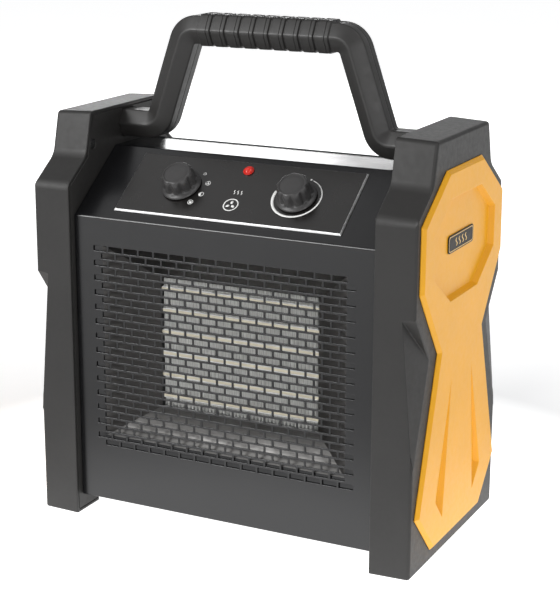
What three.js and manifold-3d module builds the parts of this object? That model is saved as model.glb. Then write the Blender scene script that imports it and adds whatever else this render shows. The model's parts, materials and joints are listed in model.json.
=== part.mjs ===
// Ceramic space heater: a portable fan heater with a PTC heating block.
// Millimetres. +X is the heater's right side, -Y its front, +Z up.
// The origin is on the floor, under the middle of the heater.
import * as THREE from 'three';
import { mergeVertices } from 'three/addons/utils/BufferGeometryUtils.js';
import Module from 'manifold-3d';

const wasm = await Module();
wasm.setup();

// ---------------------------------------------------------------- driving dimensions
const GAP = 0.3;                    // clearance between neighbouring pieces

// end caps
const CAP_IN = 136;                 // inner face of a cap
const CAP_OUT = 170;                // outer face of a cap
const CAP_WALL = 3;
const CAP_DRAFT = 1.5;              // how much smaller the outline is at the outer face
const CAP_BOTTOM_Y = 96;            // half depth at the floor
const CAP_SHOULDER = [95.2, 287.2]; // half depth and height where the shoulder starts
const CAP_NECK = [67, 307];         // where the shoulder ends
const CAP_TOP = [58.2, 342.4];
const FOOT_REACH = 61.5;            // the feet lie outside this half depth
const FOOT_ARCH = 12;               // height of the arch between the feet
const WAIST_TOP = 214.5;            // the side notches run between these two heights
const WAIST_LOW = 79;
const WAIST = [64.5, 172.5];        // deepest point of a notch on the outer face
const WAIST_FRONT = [158.6, 212.4]; // deepest point of a notch on the front face, X and Z
const SCREW_AT = [55.9, 315.1];     // the cap screws, half depth and height
const SCREW_BOSS = 4.5;
const SCREW_HOLE = 1.9;
const SCREW_SHANK = 1.5;
const SCREW_HEAD = 3.7;
const SCREW_REACH = 18;
const COUNTERBORE = [4.2, 1.6];     // radius and depth

// side inserts
const INSERT = [[38.4, 316.3], [88, 281.8], [88.6, 229.5], [48.2, 173.5], [87.9, 48.5], [53, 10.8]];
const INSERT_RISE = 3.5;            // how far an insert stands proud of its cap
const INSERT_BEVEL = 3;
const INSERT_PLUG = 4.5;            // how far it reaches into the cap
const PLUG_INSET = 12;
const POCKET = [[33, 293.8], [67.5, 270.2], [66.9, 236.6], [30.2, 211.6]];
const GROOVE = [[22.4, 146.5], [50.7, 51], [34.6, 33]];
const RECESS_DEPTH = 5;             // of the pocket, and of the grooves at their wide ends
const RECESS_DRAFT = 2.5;           // how far their walls lean in over that depth
const BADGE = [55.4, 14.2, 0.8];    // width, height, thickness
const BADGE_Z = 255.2;
const BADGE_RADIUS = 3;

// sheet-steel body
const SHEET = 1.2;
const BODY_X = CAP_IN - GAP;
const BODY_FRONT = 87.5;            // half depth of the body
const BODY_BOTTOM = 15.4;
const FOLD_Z = 261.2;               // fold between the front and the slope
const TOP_Y = 22;                   // half depth of the flat top
const TOP_Z = 309.3;

// air grilles, at twice the pitch of the real slots
const SLOT_ROWS = 14;
const SLOT_COLUMNS = 8;
const SLOT = [26, 8.6];
const SLOT_PITCH = [28.8, 12.5];
const GRILLE_TOP = 235.2;
const REAR_ROWS = 11;
const REAR_COLUMNS = 6;

// controls, placed on the slope by distance from its middle
const SLOPE_ANGLE = Math.atan2(TOP_Z - FOLD_Z, BODY_FRONT - TOP_Y);
const SLOPE_LENGTH = Math.hypot(TOP_Z - FOLD_Z, BODY_FRONT - TOP_Y);
const KNOB_X = 52;
const KNOB_UP = 0.9;
const KNOB_SKIRT = 16.8;
const KNOB_RADIUS = 13.9;
const KNOB_FLUTES = 9;
const KNOB_FLUTE_DEPTH = 1.5;
const KNOB_LOW = 2.6;
const KNOB_SKIRT_TOP = 5;
const KNOB_TOP = 17.7;
const SHAFT_RADIUS = 3;
const SHAFT_BORE = 3.15;
const SHAFT_DEPTH = 16;            // how far the shafts reach below the slope
const BUSHING = 4.6;
const LAMP_UP = 23.5;
const LAMP_BARREL = 3.4;
const PLATE = [204, 66, 1.6];
const PLATE_UP = 1.2;
const PLATE_BEVEL = 1.4;
const SELECTOR_REST = 45;           // pointer angles from the slope's +X direction
const THERMOSTAT_REST = -135;

// handle
const GRIP_Z = 408.3;
const LEG_X = 73.9;                 // where the leg's line crosses the grip's line
const LEG_LEAN = 18.9;              // degrees from upright
const STUB_Z = 326.3;
const STUB_END = 158;
const HANDLE_HALF = 11.6;           // half thickness in the handle's own plane
const HANDLE_FLAT = 8.5;            // half width of its flat faces
const HANDLE_RIDGE = 15;            // half depth at its ridges
const HANDLE_WALL = 2.5;
const BEND = 14;                    // radius of its bends, on the centre line
const BEND_STEPS = 4;
const RIBS = 9;
const RIB_PITCH = 13.3;
const RIB_WIDTH = 10;
const RIB_RISE = 1.7;
const RIB_RAMP = 0.7;               // length of the step at each end of a rib

// heating block
const HEAT_X = 72.5;                // half width of the fins
const HEAT_END = 10;                // width of the blocks that hold the bars' ends
const HEAT_LOW = 96;
const HEAT_ROWS = 6;
const HEAT_PITCH = 18.65;
const BAR = 2.4;                    // height of one ceramic bar
const HEAT_FRONT = -55;
const HEAT_BACK = -29;
const FIN_FOLDS = 18;
const FIN_SHEET = 0.5;
const HEAT_HIGH = HEAT_LOW + HEAT_ROWS * HEAT_PITCH;
const HEAT_MID = (HEAT_LOW + HEAT_HIGH) / 2;
const MOUTH = [110, 73, 237.5];     // funnel mouth: half width, bottom, top

// fan
const BULKHEAD_Y = -18;
const RING_RADIUS = 76;
const FAN_RADIUS = 73;
const FAN_BLADES = 7;
const HUB_RADIUS = 19;
const FAN_FRONT = -13;
const FAN_DEPTH = 20;
const BLADE_PITCH = [42, 24];       // degrees at the hub and at the tip
const BLADE_CHORD = [18, 30];       // width at the hub and at the tip
const BLADE_THICK = 1.6;
const BLADE_STEPS = 4;
const MOTOR_FRONT = 20;
const MOTOR_LENGTH = 42;
const MOTOR_RADIUS = 29;
const MOTOR_SHAFT = 2.5;
const MOTOR_BORE = 2.65;
const MOTOR_NOSE = 8;
const MOTOR_GRIP = 30;              // how much of the shaft lies inside the motor
const RING_BACK = 12;
const BRACKET_Y = 14.2;
const BRACKET_REACH = 104;
const BRACKET_SHEET = 2;
const BRACKET_WIDTH = 14;

// electrics
const INNER_X = 130;                // half width of the bulkhead and of the partition
const PARTITION_Z = 240;
const GLAND_AT = [104, 249.5];      // X and Z of the cable inlet in the rear panel
const GLAND_BODY = 8;
const GLAND_NUT = 10.5;
const GLAND_BORE = 4;
const BULB_AT = [62, 79];           // X and Y of the thermostat's upright sensing bulb
const BULB_Z = [150, 207];
const TUBE_PATH = [[58, 0, 263], [60, 30, 262], [62, 62, 250], [62, 77, 228], [62, 79, 205]];
const LOOM_HOLE = [-100, -30];      // X and Y where the wiring passes the partition
const LOOM_PATH = [[-52, -22, 251], [-66, -24, 255], [-88, -28, 256], [-100, -30, 246],
  [-100, -30, 232], [-102, -36, 215], [-97, -42, 190]];

// ---------------------------------------------------------------- materials
const plastic = (color, roughness = 0.55) =>
  new THREE.MeshStandardMaterial({ color, roughness, metalness: 0 });
const metal = (color, roughness = 0.35) =>
  new THREE.MeshStandardMaterial({ color, roughness, metalness: 1 });

const CAP_BLACK = plastic(0x3b3a39, 0.6);
const YELLOW = plastic(0xf0a916, 0.4);
const BADGE_BLACK = plastic(0x2a2622, 0.5);
const PAINT = new THREE.MeshStandardMaterial({ color: 0x1d1d1f, roughness: 0.35, metalness: 0.2 });
const KNOB_BLACK = plastic(0x2b2b2b, 0.4);
const HANDLE_GREY = plastic(0x444343, 0.6);
const LENS_RED = plastic(0xb3201c, 0.15);
const GALVANISED = metal(0xa7a9ab, 0.45);
const ALUMINIUM = metal(0xc6c8ca, 0.4);
const CERAMIC = plastic(0xe6dfcd, 0.6);
const STEEL = metal(0x9a9b9d, 0.3);
const WHITE_NYLON = plastic(0xd8d6cf, 0.5);
const DARK_NYLON = plastic(0x232323, 0.5);
const COPPER = metal(0xb06a40, 0.35);
const WIRE = plastic(0x8c2f25, 0.5);

// ---------------------------------------------------------------- geometry helpers
const v3 = (x, y, z) => new THREE.Vector3(x, y, z);

// A closed body through two or more outlines that have the same number of points.
function loft(rings) {
  const count = rings[0].length;
  const positions = rings.flat().flatMap((p) => [p.x, p.y, p.z]);
  const index = [];
  for (let r = 0; r < rings.length - 1; r += 1) {
    for (let i = 0; i < count; i += 1) {
      const j = (i + 1) % count;
      const [a, b] = [r * count + i, r * count + j];
      index.push(a, b, b + count, a, b + count, a + count);
    }
  }
  const last = (rings.length - 1) * count;
  for (const [a, b, c] of faceTriangles(rings[0])) index.push(c, b, a);
  for (const [a, b, c] of faceTriangles(rings.at(-1))) index.push(last + a, last + b, last + c);
  const geometry = new THREE.BufferGeometry();
  geometry.setAttribute('position', new THREE.Float32BufferAttribute(positions, 3));
  geometry.setIndex(signedVolume(positions, index) < 0 ? index.reverse() : index);
  return geometry;
}

// Triangles that fill one flat outline, wound the way the outline runs.
function faceTriangles(ring) {
  const normal = v3(0, 0, 0);
  ring.forEach((p, i) => {
    const q = ring[(i + 1) % ring.length];
    normal.add(v3((p.y - q.y) * (p.z + q.z), (p.z - q.z) * (p.x + q.x), (p.x - q.x) * (p.y + q.y)));
  });
  const [ax, ay, az] = normal.toArray().map(Math.abs);
  const flat = ring.map((p) => {
    if (ax >= ay && ax >= az) return new THREE.Vector2(p.y, p.z);
    return ay >= az ? new THREE.Vector2(p.x, p.z) : new THREE.Vector2(p.x, p.y);
  });
  const turn = Math.sign(THREE.ShapeUtils.area(flat));
  return THREE.ShapeUtils.triangulateShape(flat, []).map(([a, b, c]) => {
    const same = Math.sign(THREE.ShapeUtils.area([flat[a], flat[b], flat[c]])) === turn;
    return same ? [a, b, c] : [a, c, b];
  });
}

function signedVolume(positions, index) {
  const point = (i) => v3(positions[3 * i], positions[3 * i + 1], positions[3 * i + 2]);
  let volume = 0;
  for (let t = 0; t < index.length; t += 3) {
    volume += point(index[t]).dot(point(index[t + 1]).cross(point(index[t + 2])));
  }
  return volume / 6;
}

function toSolid(geometry) {
  const bare = geometry.clone();
  bare.deleteAttribute('normal');
  bare.deleteAttribute('uv');
  const welded = mergeVertices(bare, 1e-4);
  return new wasm.Manifold(new wasm.Mesh({
    numProp: 3,
    vertProperties: new Float32Array(welded.attributes.position.array),
    triVerts: new Uint32Array(welded.index.array),
  }));
}

function toGeometry(solid) {
  const mesh = solid.getMesh();
  const geometry = new THREE.BufferGeometry();
  geometry.setAttribute('position', new THREE.BufferAttribute(mesh.vertProperties, 3));
  geometry.setIndex(new THREE.BufferAttribute(mesh.triVerts, 1));
  return geometry;
}

const join = (base, tools) => toGeometry(tools.reduce((s, g) => s.add(toSolid(g)), toSolid(base)));
const cut = (base, tools) => toGeometry(tools.reduce((s, g) => s.subtract(toSolid(g)), toSolid(base)));

// A box from its two opposite corners.
function block([x0, y0, z0], [x1, y1, z1]) {
  const geometry = new THREE.BoxGeometry(x1 - x0, y1 - y0, z1 - z0);
  return geometry.translate((x0 + x1) / 2, (y0 + y1) / 2, (z0 + z1) / 2);
}

const TURN = { x: (g) => g.rotateZ(-Math.PI / 2), y: (g) => g, z: (g) => g.rotateX(Math.PI / 2) };

// A solid of revolution about Z from [radius, z] points, upwards, starting and ending on the axis.
function turned(profile, sides) {
  const points = profile.map(([radius, z]) => new THREE.Vector2(radius, z));
  return new THREE.LatheGeometry(points, sides).rotateX(Math.PI / 2);
}

// A cylinder along one axis, from its lower end to its upper end.
function rod(axis, radius, from, to, [a, b] = [0, 0], sides = 20) {
  const geometry = TURN[axis](new THREE.CylinderGeometry(radius, radius, to - from, sides));
  const middle = (from + to) / 2;
  if (axis === 'x') return geometry.translate(middle, a, b);
  return axis === 'y' ? geometry.translate(a, middle, b) : geometry.translate(a, b, middle);
}

// Outlines in the Y-Z plane, placed at one X.
const atX = (outline, x) => outline.map(([y, z]) => v3(x, y, z));
const alongX = (outline, x0, x1) => loft([atX(outline, x0), atX(outline, x1)]);

// The right half of a symmetric outline, listed downwards, closed with its mirror image.
const mirrored = (half) => [...half, ...half.map(([y, z]) => [-y, z]).reverse()];

// An outline moved inwards by a distance; it works for outlines listed either way round.
function inset(outline, distance) {
  const points = outline.map(([y, z]) => new THREE.Vector2(y, z));
  const side = Math.sign(THREE.ShapeUtils.area(points));
  const lines = points.map((p, i) => {
    const along = points[(i + 1) % points.length].clone().sub(p).normalize();
    const normal = new THREE.Vector2(-along.y, along.x).multiplyScalar(side * distance);
    return { point: p.clone().add(normal), along };
  });
  return lines.map((line, i) => {
    const before = lines[(i + lines.length - 1) % lines.length];
    const across = before.along.x * line.along.y - before.along.y * line.along.x;
    const delta = line.point.clone().sub(before.point);
    const t = (delta.x * line.along.y - delta.y * line.along.x) / across;
    const crossing = before.point.clone().addScaledVector(before.along, t);
    return [crossing.x, crossing.y];
  });
}

const heater = new THREE.Group();

function place(name, geometry, material, parent = heater) {
  const mesh = new THREE.Mesh(geometry, material);
  mesh.name = name;
  parent.add(mesh);
  return mesh;
}

// Mirrors a geometry in the plane X = 0 and keeps its faces outwards.
function flipX(geometry) {
  const flipped = geometry.clone().scale(-1, 1, 1);
  flipped.index.array.reverse();
  return flipped;
}

// The same piece on both sides, made for the right side.
function placePair(name, geometry, material) {
  place(`right_${name}`, geometry, material);
  place(`left_${name}`, flipX(geometry), material);
}

// ---------------------------------------------------------------- end caps
const capHalf = [CAP_TOP, CAP_NECK, CAP_SHOULDER, [CAP_BOTTOM_Y, 0]];
const capOutline = mirrored(capHalf);
const onFloor = ([y, z]) => [y, z < CAP_DRAFT + 0.1 ? 0 : z];
const capOuterOutline = inset(capOutline, CAP_DRAFT).map(onFloor);
const insertOutline = mirrored(INSERT);
const screwAt = (side) => [side * SCREW_AT[0], SCREW_AT[1]];

// The corner notch is a wedge with two flat faces that meet in a crease. The crease runs from the
// front face to the outer face. The wedge is drawn larger than the cap, so only its faces cut.
function notch(side, shift) {
  const front = v3(WAIST_FRONT[0], CAP_BOTTOM_Y, WAIST_FRONT[1]);
  const outer = v3(CAP_OUT, ...WAIST);
  const middle = front.clone().add(outer).divideScalar(2);
  const beyond = (from, to, factor) => from.clone().lerp(to, factor);
  const corners = [
    beyond(outer, front, 1.3),
    beyond(front, outer, 1.3),
    beyond(middle, v3(CAP_OUT, CAP_BOTTOM_Y, WAIST_TOP), 1.5),
    beyond(middle, v3(CAP_OUT, CAP_BOTTOM_Y, WAIST_LOW), 1.5),
  ];
  const flat = corners.flatMap((p) => [p.x - shift, (p.y - shift) * side, p.z + shift / 2]);
  const index = [0, 1, 2, 0, 3, 1, 0, 2, 3, 1, 3, 2];
  const geometry = new THREE.BufferGeometry();
  geometry.setAttribute('position', new THREE.Float32BufferAttribute(flat, 3));
  geometry.setIndex(signedVolume(flat, index) < 0 ? index.reverse() : index);
  return geometry;
}

function capShell() {
  const hollow = alongX(inset(capOutline, CAP_WALL), CAP_IN - 1, CAP_OUT - CAP_WALL);
  const cavity = cut(hollow, [notch(1, CAP_WALL), notch(-1, CAP_WALL)]);
  const bosses = [1, -1].map((side) =>
    rod('x', SCREW_BOSS, CAP_IN + CAP_WALL + GAP, CAP_OUT - 1, screwAt(side), 12));
  const holes = [1, -1].map((side) =>
    rod('x', SCREW_HOLE, CAP_IN, CAP_OUT - 2 * CAP_WALL, screwAt(side), 12));
  const windowOutline = inset(insertOutline, PLUG_INSET - GAP);
  const window = alongX(windowOutline, CAP_OUT - 2 * CAP_WALL, CAP_OUT + 1);
  const body = loft([atX(capOutline, CAP_IN), atX(capOuterOutline, CAP_OUT)]);
  const arch = block([CAP_IN - 1, -FOOT_REACH, -1], [CAP_OUT - CAP_WALL, FOOT_REACH, CAP_WALL + 1]);
  const shell = cut(body, [notch(1, 0), notch(-1, 0), cavity, window, arch]);
  return cut(join(shell, bosses), holes);
}

function capCover() {
  const plate = alongX(inset(capOutline, CAP_WALL + GAP), CAP_IN, CAP_IN + CAP_WALL);
  const stub = hexPrism(CAP_IN - 1, CAP_IN + CAP_WALL + 1, GAP);
  const arch = block([CAP_IN - 1, -FOOT_REACH, 0], [CAP_IN + CAP_WALL + 1, FOOT_REACH, FOOT_ARCH]);
  const screws = [1, -1].flatMap((side) => {
    const hole = rod('x', SCREW_HOLE, CAP_IN - 1, CAP_IN + CAP_WALL + 1, screwAt(side), 12);
    const [radius, depth] = COUNTERBORE;
    return [hole, rod('x', radius, CAP_IN - 1, CAP_IN + depth, screwAt(side), 16)];
  });
  return cut(plate, [stub, arch, ...screws]);
}

function capScrew(side) {
  const [y, z] = screwAt(side);
  const head = rod('x', SCREW_HEAD, CAP_IN + 0.2, CAP_IN + COUNTERBORE[1] - GAP, [y, z], 12);
  const shank = rod('x', SCREW_SHANK, CAP_IN + 1, CAP_IN + SCREW_REACH, [y, z], 12);
  const slot = block([CAP_IN, y - 2.4, z - 0.45], [CAP_IN + 0.8, y + 2.4, z + 0.45]);
  return cut(join(head, [shank]), [slot]);
}

// ---------------------------------------------------------------- side inserts
function insertPlate() {
  const outline = insertOutline;
  const base = CAP_OUT + GAP;
  const crown = CAP_OUT + INSERT_RISE;
  const face = inset(outline, INSERT_BEVEL);
  const overlay = loft([atX(outline, base), atX(outline, base + 0.5), atX(face, crown)]);
  const plug = alongX(inset(outline, PLUG_INSET), CAP_OUT - INSERT_PLUG, base + 0.2);
  const pocket = mirrored(POCKET);
  const floor = crown - RECESS_DEPTH;
  const draft = RECESS_DRAFT / RECESS_DEPTH;
  const recess = loft([atX(inset(pocket, RECESS_DRAFT), floor), atX(inset(pocket, -draft), crown + 1)]);
  const [, ...deepEnd] = inset(GROOVE, RECESS_DRAFT);
  const grooves = [1, -1].map((side) => {
    const rim = inset(GROOVE, -draft / 2).map(([y, z]) => v3(crown + 0.5, side * y, z));
    const bed = deepEnd.map(([y, z]) => v3(floor, side * y, z));
    return loft([rim, [v3(crown, side * GROOVE[0][0], GROOVE[0][1]), ...bed]]);
  });
  return cut(join(overlay, [plug]), [recess, ...grooves]);
}

function badge() {
  const [width, height, thick] = BADGE;
  const shape = new THREE.Shape();
  const [w, h, r] = [width / 2, height / 2, BADGE_RADIUS];
  shape.moveTo(-w + r, -h);
  shape.absarc(w - r, -h + r, r, -Math.PI / 2, 0);
  shape.absarc(w - r, h - r, r, 0, Math.PI / 2);
  shape.absarc(-w + r, h - r, r, Math.PI / 2, Math.PI);
  shape.absarc(-w + r, -h + r, r, Math.PI, 1.5 * Math.PI);
  const settings = { depth: thick, bevelEnabled: false, curveSegments: 4 };
  const geometry = new THREE.ExtrudeGeometry(shape, settings);
  geometry.rotateX(Math.PI / 2).rotateZ(Math.PI / 2);
  const floor = CAP_OUT + INSERT_RISE - RECESS_DEPTH;
  return toGeometry(toSolid(geometry.translate(floor + GAP, 0, BADGE_Z)));
}

// ---------------------------------------------------------------- sheet-steel body
const bodyHalf = [[TOP_Y, TOP_Z], [BODY_FRONT, FOLD_Z], [BODY_FRONT, BODY_BOTTOM]];
const bodyOutline = mirrored(bodyHalf);

// A folded strip of sheet along an outline, open at both ends.
function foldedSheet(points, thickness, x0, x1) {
  const normals = points.slice(1).map(([y, z], i) => {
    const d = Math.hypot(y - points[i][0], z - points[i][1]);
    return [(z - points[i][1]) / d, -(y - points[i][0]) / d];
  });
  const inner = points.map(([y, z], i) => {
    const a = normals[Math.max(0, i - 1)];
    const b = normals[Math.min(normals.length - 1, i)];
    const scale = thickness / (1 + a[0] * b[0] + a[1] * b[1]);
    return [y + (a[0] + b[0]) * scale, z + (a[1] + b[1]) * scale];
  });
  return alongX([...points, ...inner.reverse()], x0, x1);
}

// Rows of slots in a wall that faces front or back, every other row shifted by half a pitch.
function slots(rows, columns, top, y) {
  const boxes = [];
  for (let row = 0; row < rows; row += 1) {
    const shift = row % 2 ? SLOT_PITCH[0] / 4 : -SLOT_PITCH[0] / 4;
    for (let column = 0; column < columns; column += 1) {
      const x = (column - (columns - 1) / 2) * SLOT_PITCH[0] + shift;
      const z = top - row * SLOT_PITCH[1];
      const [w, h] = [SLOT[0] / 2, SLOT[1] / 2];
      boxes.push(block([x - w, y - 3, z - h], [x + w, y + 3, z + h]));
    }
  }
  return boxes;
}

// Holes for the two bushings and the lamp, in slope coordinates.
function controlHoles(low, high) {
  const at = [[-KNOB_X, KNOB_UP, BUSHING], [KNOB_X, KNOB_UP, BUSHING], [0, LAMP_UP, LAMP_BARREL]];
  return at.map(([x, up, radius]) => rod('z', radius + GAP, low, high, [x, up], 16));
}

// Moves a geometry from slope coordinates (X, up the slope, out of it) into the heater.
function toSlope(geometry) {
  return geometry.rotateX(SLOPE_ANGLE).translate(0, -(BODY_FRONT + TOP_Y) / 2, (FOLD_Z + TOP_Z) / 2);
}

function frontPanel() {
  const edge = [TOP_Y - SHEET, TOP_Z];
  const outline = [[-BODY_FRONT, BODY_BOTTOM], [-BODY_FRONT, FOLD_Z], [-TOP_Y, TOP_Z], edge];
  const sheet = foldedSheet(outline, SHEET, -BODY_X, BODY_X);
  const openings = slots(SLOT_ROWS, SLOT_COLUMNS, GRILLE_TOP - SLOT_PITCH[1] / 4, -BODY_FRONT);
  return cut(sheet, [...openings, ...controlHoles(-6, 8).map(toSlope)]);
}

function rearPanel() {
  const outline = [[TOP_Y + GAP, TOP_Z], [BODY_FRONT, FOLD_Z], [BODY_FRONT, BODY_BOTTOM]];
  const sheet = foldedSheet(outline, SHEET, -BODY_X, BODY_X);
  const openings = slots(REAR_ROWS, REAR_COLUMNS, HEAT_MID + 5 * SLOT_PITCH[1], BODY_FRONT);
  return cut(sheet, [...openings, rod('y', GLAND_BODY + 0.4, 70, 90, GLAND_AT, 20)]);
}

function basePanel() {
  const y = BODY_FRONT - SHEET - GAP;
  const outline = [[-y, BODY_BOTTOM + 14], [-y, BODY_BOTTOM], [y, BODY_BOTTOM], [y, BODY_BOTTOM + 14]];
  return foldedSheet(outline, -SHEET, 1 - BODY_X + SHEET, BODY_X - SHEET - 1);
}

function sidePlate() {
  const lifted = bodyOutline.map(([y, z]) => [y, z === BODY_BOTTOM ? z - SHEET : z]);
  return alongX(inset(lifted, SHEET + GAP), BODY_X - SHEET, BODY_X);
}

// ---------------------------------------------------------------- controls
const slope = new THREE.Group();
slope.rotation.x = SLOPE_ANGLE;
slope.position.set(0, -(BODY_FRONT + TOP_Y) / 2, (FOLD_Z + TOP_Z) / 2);
heater.add(slope);

function controlPlate() {
  const [w, h, thick] = [PLATE[0] / 2, PLATE[1] / 2, PLATE[2]];
  const ring = (shrink, z) => {
    const [x, y] = [w - shrink, h - shrink];
    const corners = [[-x, -y], [x, -y], [x, y], [-x, y]];
    return corners.map(([across, up]) => v3(across, up + PLATE_UP, z));
  };
  const plate = loft([ring(0, GAP), ring(PLATE_BEVEL, GAP + thick)]);
  return cut(plate, controlHoles(-1, 4));
}

// A knob with a skirt, scalloped sides and a dished top, bored from below for its shaft.
function knob(pointer) {
  const steps = 6;
  const ring = (scale, z) => {
    const points = [];
    for (let i = 0; i < KNOB_FLUTES * steps; i += 1) {
      const angle = (2 * Math.PI * i) / (KNOB_FLUTES * steps);
      const wave = (1 - Math.cos(angle * KNOB_FLUTES)) / 2;
      const radius = scale * (KNOB_RADIUS - KNOB_FLUTE_DEPTH * wave ** 2);
      points.push(v3(radius * Math.cos(angle), radius * Math.sin(angle), z));
    }
    return points;
  };
  const grip = loft([ring(1.02, KNOB_LOW + 0.5), ring(1, KNOB_TOP - 1), ring(0.94, KNOB_TOP)]);
  const rim = KNOB_LOW + 1.2;
  const skirt = turned([[0, KNOB_LOW], [KNOB_SKIRT, KNOB_LOW], [KNOB_SKIRT, rim],
    [14.6, KNOB_SKIRT_TOP], [0, KNOB_SKIRT_TOP]], 36);
  const bore = rod('z', SHAFT_BORE, KNOB_LOW - 1, KNOB_TOP - 3, [0, 0], 20);
  const dish = rod('z', 9.6, KNOB_TOP - 0.6, KNOB_TOP + 1, [0, 0], 24);
  const mark = block([9.4, -0.6, KNOB_SKIRT_TOP + 1], [KNOB_RADIUS + 2, 0.6, KNOB_TOP + 1]);
  const body = cut(join(skirt, [grip]), [bore, dish, mark]);
  return body.rotateZ(THREE.MathUtils.degToRad(pointer));
}

const shaft = () => rod('z', SHAFT_RADIUS, -SHAFT_DEPTH + GAP, KNOB_TOP - 3.4, [0, 0], 20);

// A switch or thermostat case under the sheet, with the threaded bushing that its shaft turns in.
function controlCase(width, height, depth) {
  const under = -SHEET - GAP;
  const body = block([-width / 2, -height / 2, under - depth], [width / 2, height / 2, under]);
  const bushing = rod('z', BUSHING, under - 1, KNOB_LOW - GAP, [0, 0], 20);
  const bore = rod('z', SHAFT_BORE, -SHAFT_DEPTH, KNOB_LOW + 1, [0, 0], 20);
  const tabs = [-1, 0, 1].map((i) =>
    block([i * 9 - 2.4, -0.4, under - depth - 8], [i * 9 + 2.4, 0.4, under - depth + 1]));
  return cut(join(body, [bushing, ...tabs]), [bore]);
}

function lampLens() {
  const seat = GAP + PLATE[2] + GAP;
  const lens = turned([[0, seat], [4.6, seat], [4.4, seat + 1.2], [2.4, seat + 2.8], [0, seat + 3]], 8);
  return toGeometry(toSolid(lens.translate(0, LAMP_UP, 0)));
}

function lampBody() {
  const barrel = rod('z', LAMP_BARREL, -16, GAP + PLATE[2], [0, LAMP_UP], 16);
  return join(barrel, [rod('z', 5, -SHEET - GAP - 2.2, -SHEET - GAP, [0, LAMP_UP], 6)]);
}

// A round wire of one radius along a smooth curve through a few points.
function wire(radius, steps, curveSegments, points) {
  const circle = new THREE.Shape().absarc(0, 0, radius, 0, 2 * Math.PI);
  const extrudePath = new THREE.CatmullRomCurve3(points.map((p) => v3(...p)));
  return new THREE.ExtrudeGeometry(circle, { steps, extrudePath, curveSegments });
}

// The sensing bulb behind the rear grille and the thin tube that joins it to the thermostat.
function capillary() {
  return join(wire(1.1, 14, 3, TUBE_PATH), [rod('z', 3, ...BULB_Z, BULB_AT, 12)]);
}

// ---------------------------------------------------------------- handle
const lean = THREE.MathUtils.degToRad(LEG_LEAN);

// Stations along the right half of the handle, from the middle of the grip to the end of the stub.
function handleStations() {
  const stations = [];
  const bendTurn = Math.PI / 2 - lean;
  const reach = BEND * Math.tan(bendTurn / 2);
  const low = LEG_X + (GRIP_Z - STUB_Z) * Math.tan(lean);
  const add = (x, z, heading, rise) => stations.push({ x, z, heading, rise });
  const bend = (cx, cz, from, to) => {
    for (let i = 0; i <= BEND_STEPS; i += 1) {
      const heading = from + ((to - from) * i) / BEND_STEPS;
      const side = Math.sign(to - from);
      add(cx - side * BEND * -Math.sin(heading), cz - side * BEND * Math.cos(heading), heading, 0);
    }
  };
  for (let rib = 0; rib <= (RIBS - 1) / 2; rib += 1) {
    const middle = rib * RIB_PITCH;
    if (rib > 0) {
      add(middle - RIB_WIDTH / 2 - RIB_RAMP, GRIP_Z, 0, 0);
      add(middle - RIB_WIDTH / 2, GRIP_Z, 0, RIB_RISE);
    }
    add(middle + RIB_WIDTH / 2, GRIP_Z, 0, RIB_RISE);
    add(middle + RIB_WIDTH / 2 + RIB_RAMP, GRIP_Z, 0, 0);
  }
  bend(LEG_X - reach, GRIP_Z - BEND, 0, -bendTurn);
  bend(low + reach, STUB_Z + BEND, -bendTurn, 0);
  add(STUB_END, STUB_Z, 0, 0);
  return stations;
}

// Half of the hollow hexagonal section: across is in the handle's plane, deep is along Y.
function handleSection(side, rise) {
  const [half, flat, ridge] = [HANDLE_HALF + rise, HANDLE_FLAT + rise * 0.5, HANDLE_RIDGE + rise];
  const [inHalf, inFlat, inRidge] = [HANDLE_HALF - HANDLE_WALL, HANDLE_FLAT - 1.4, HANDLE_RIDGE - 2.9];
  const edge = GAP / 2;
  const outer = [[-half, edge], [-half, flat], [0, ridge], [half, flat], [half, edge]];
  const inner = [[inHalf, edge], [inHalf, inFlat], [0, inRidge], [-inHalf, inFlat], [-inHalf, edge]];
  return [...outer, ...inner].map(([across, deep]) => [across, side * deep]);
}

function handleHalf(side) {
  const right = handleStations();
  const left = right.map((s) => ({ ...s, x: -s.x, heading: -s.heading })).reverse();
  const rings = [...left, ...right].map(({ x, z, heading, rise }) =>
    handleSection(side, rise).map(([across, deep]) =>
      v3(x - across * Math.sin(heading), deep, z + across * Math.cos(heading))));
  return loft(rings);
}

// The handle's outer section as a solid bar through a cap cover, with a margin all round.
function hexPrism(x0, x1, margin) {
  const section = [[0, HANDLE_RIDGE], [HANDLE_HALF, HANDLE_FLAT], [HANDLE_HALF, -HANDLE_FLAT],
    [0, -HANDLE_RIDGE], [-HANDLE_HALF, -HANDLE_FLAT], [-HANDLE_HALF, HANDLE_FLAT]];
  return alongX(inset(section.map(([across, deep]) => [deep, STUB_Z + across]), -margin), x0, x1);
}

// ---------------------------------------------------------------- heating block
// Concertina fins between two levels, one folded strip.
function finPack(low, high) {
  const step = (2 * HEAT_X - 2) / FIN_FOLDS;
  const under = Array.from({ length: FIN_FOLDS + 1 }, (_, i) =>
    [1 - HEAT_X + i * step, i % 2 ? high - FIN_SHEET : low]);
  const over = under.map(([x, z]) => [x, z + FIN_SHEET]).reverse();
  const shape = new THREE.Shape([...under, ...over].map(([x, z]) => new THREE.Vector2(x, z)));
  const depth = HEAT_BACK - HEAT_FRONT - 2;
  const strip = new THREE.ExtrudeGeometry(shape, { depth, bevelEnabled: false });
  return toGeometry(toSolid(strip.rotateX(Math.PI / 2).translate(0, HEAT_BACK - 1, 0)));
}

const barLevel = (row) => HEAT_LOW + (row + 0.5) * HEAT_PITCH;

// A ceramic bar, or the socket for its end when it is grown on every side.
function ceramicBar(row, grow) {
  const [x, z, half] = [HEAT_X + 6 + grow, barLevel(row), BAR / 2 + grow];
  return block([-x, HEAT_FRONT - grow, z - half], [x, HEAT_BACK + grow, z + half]);
}

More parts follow.
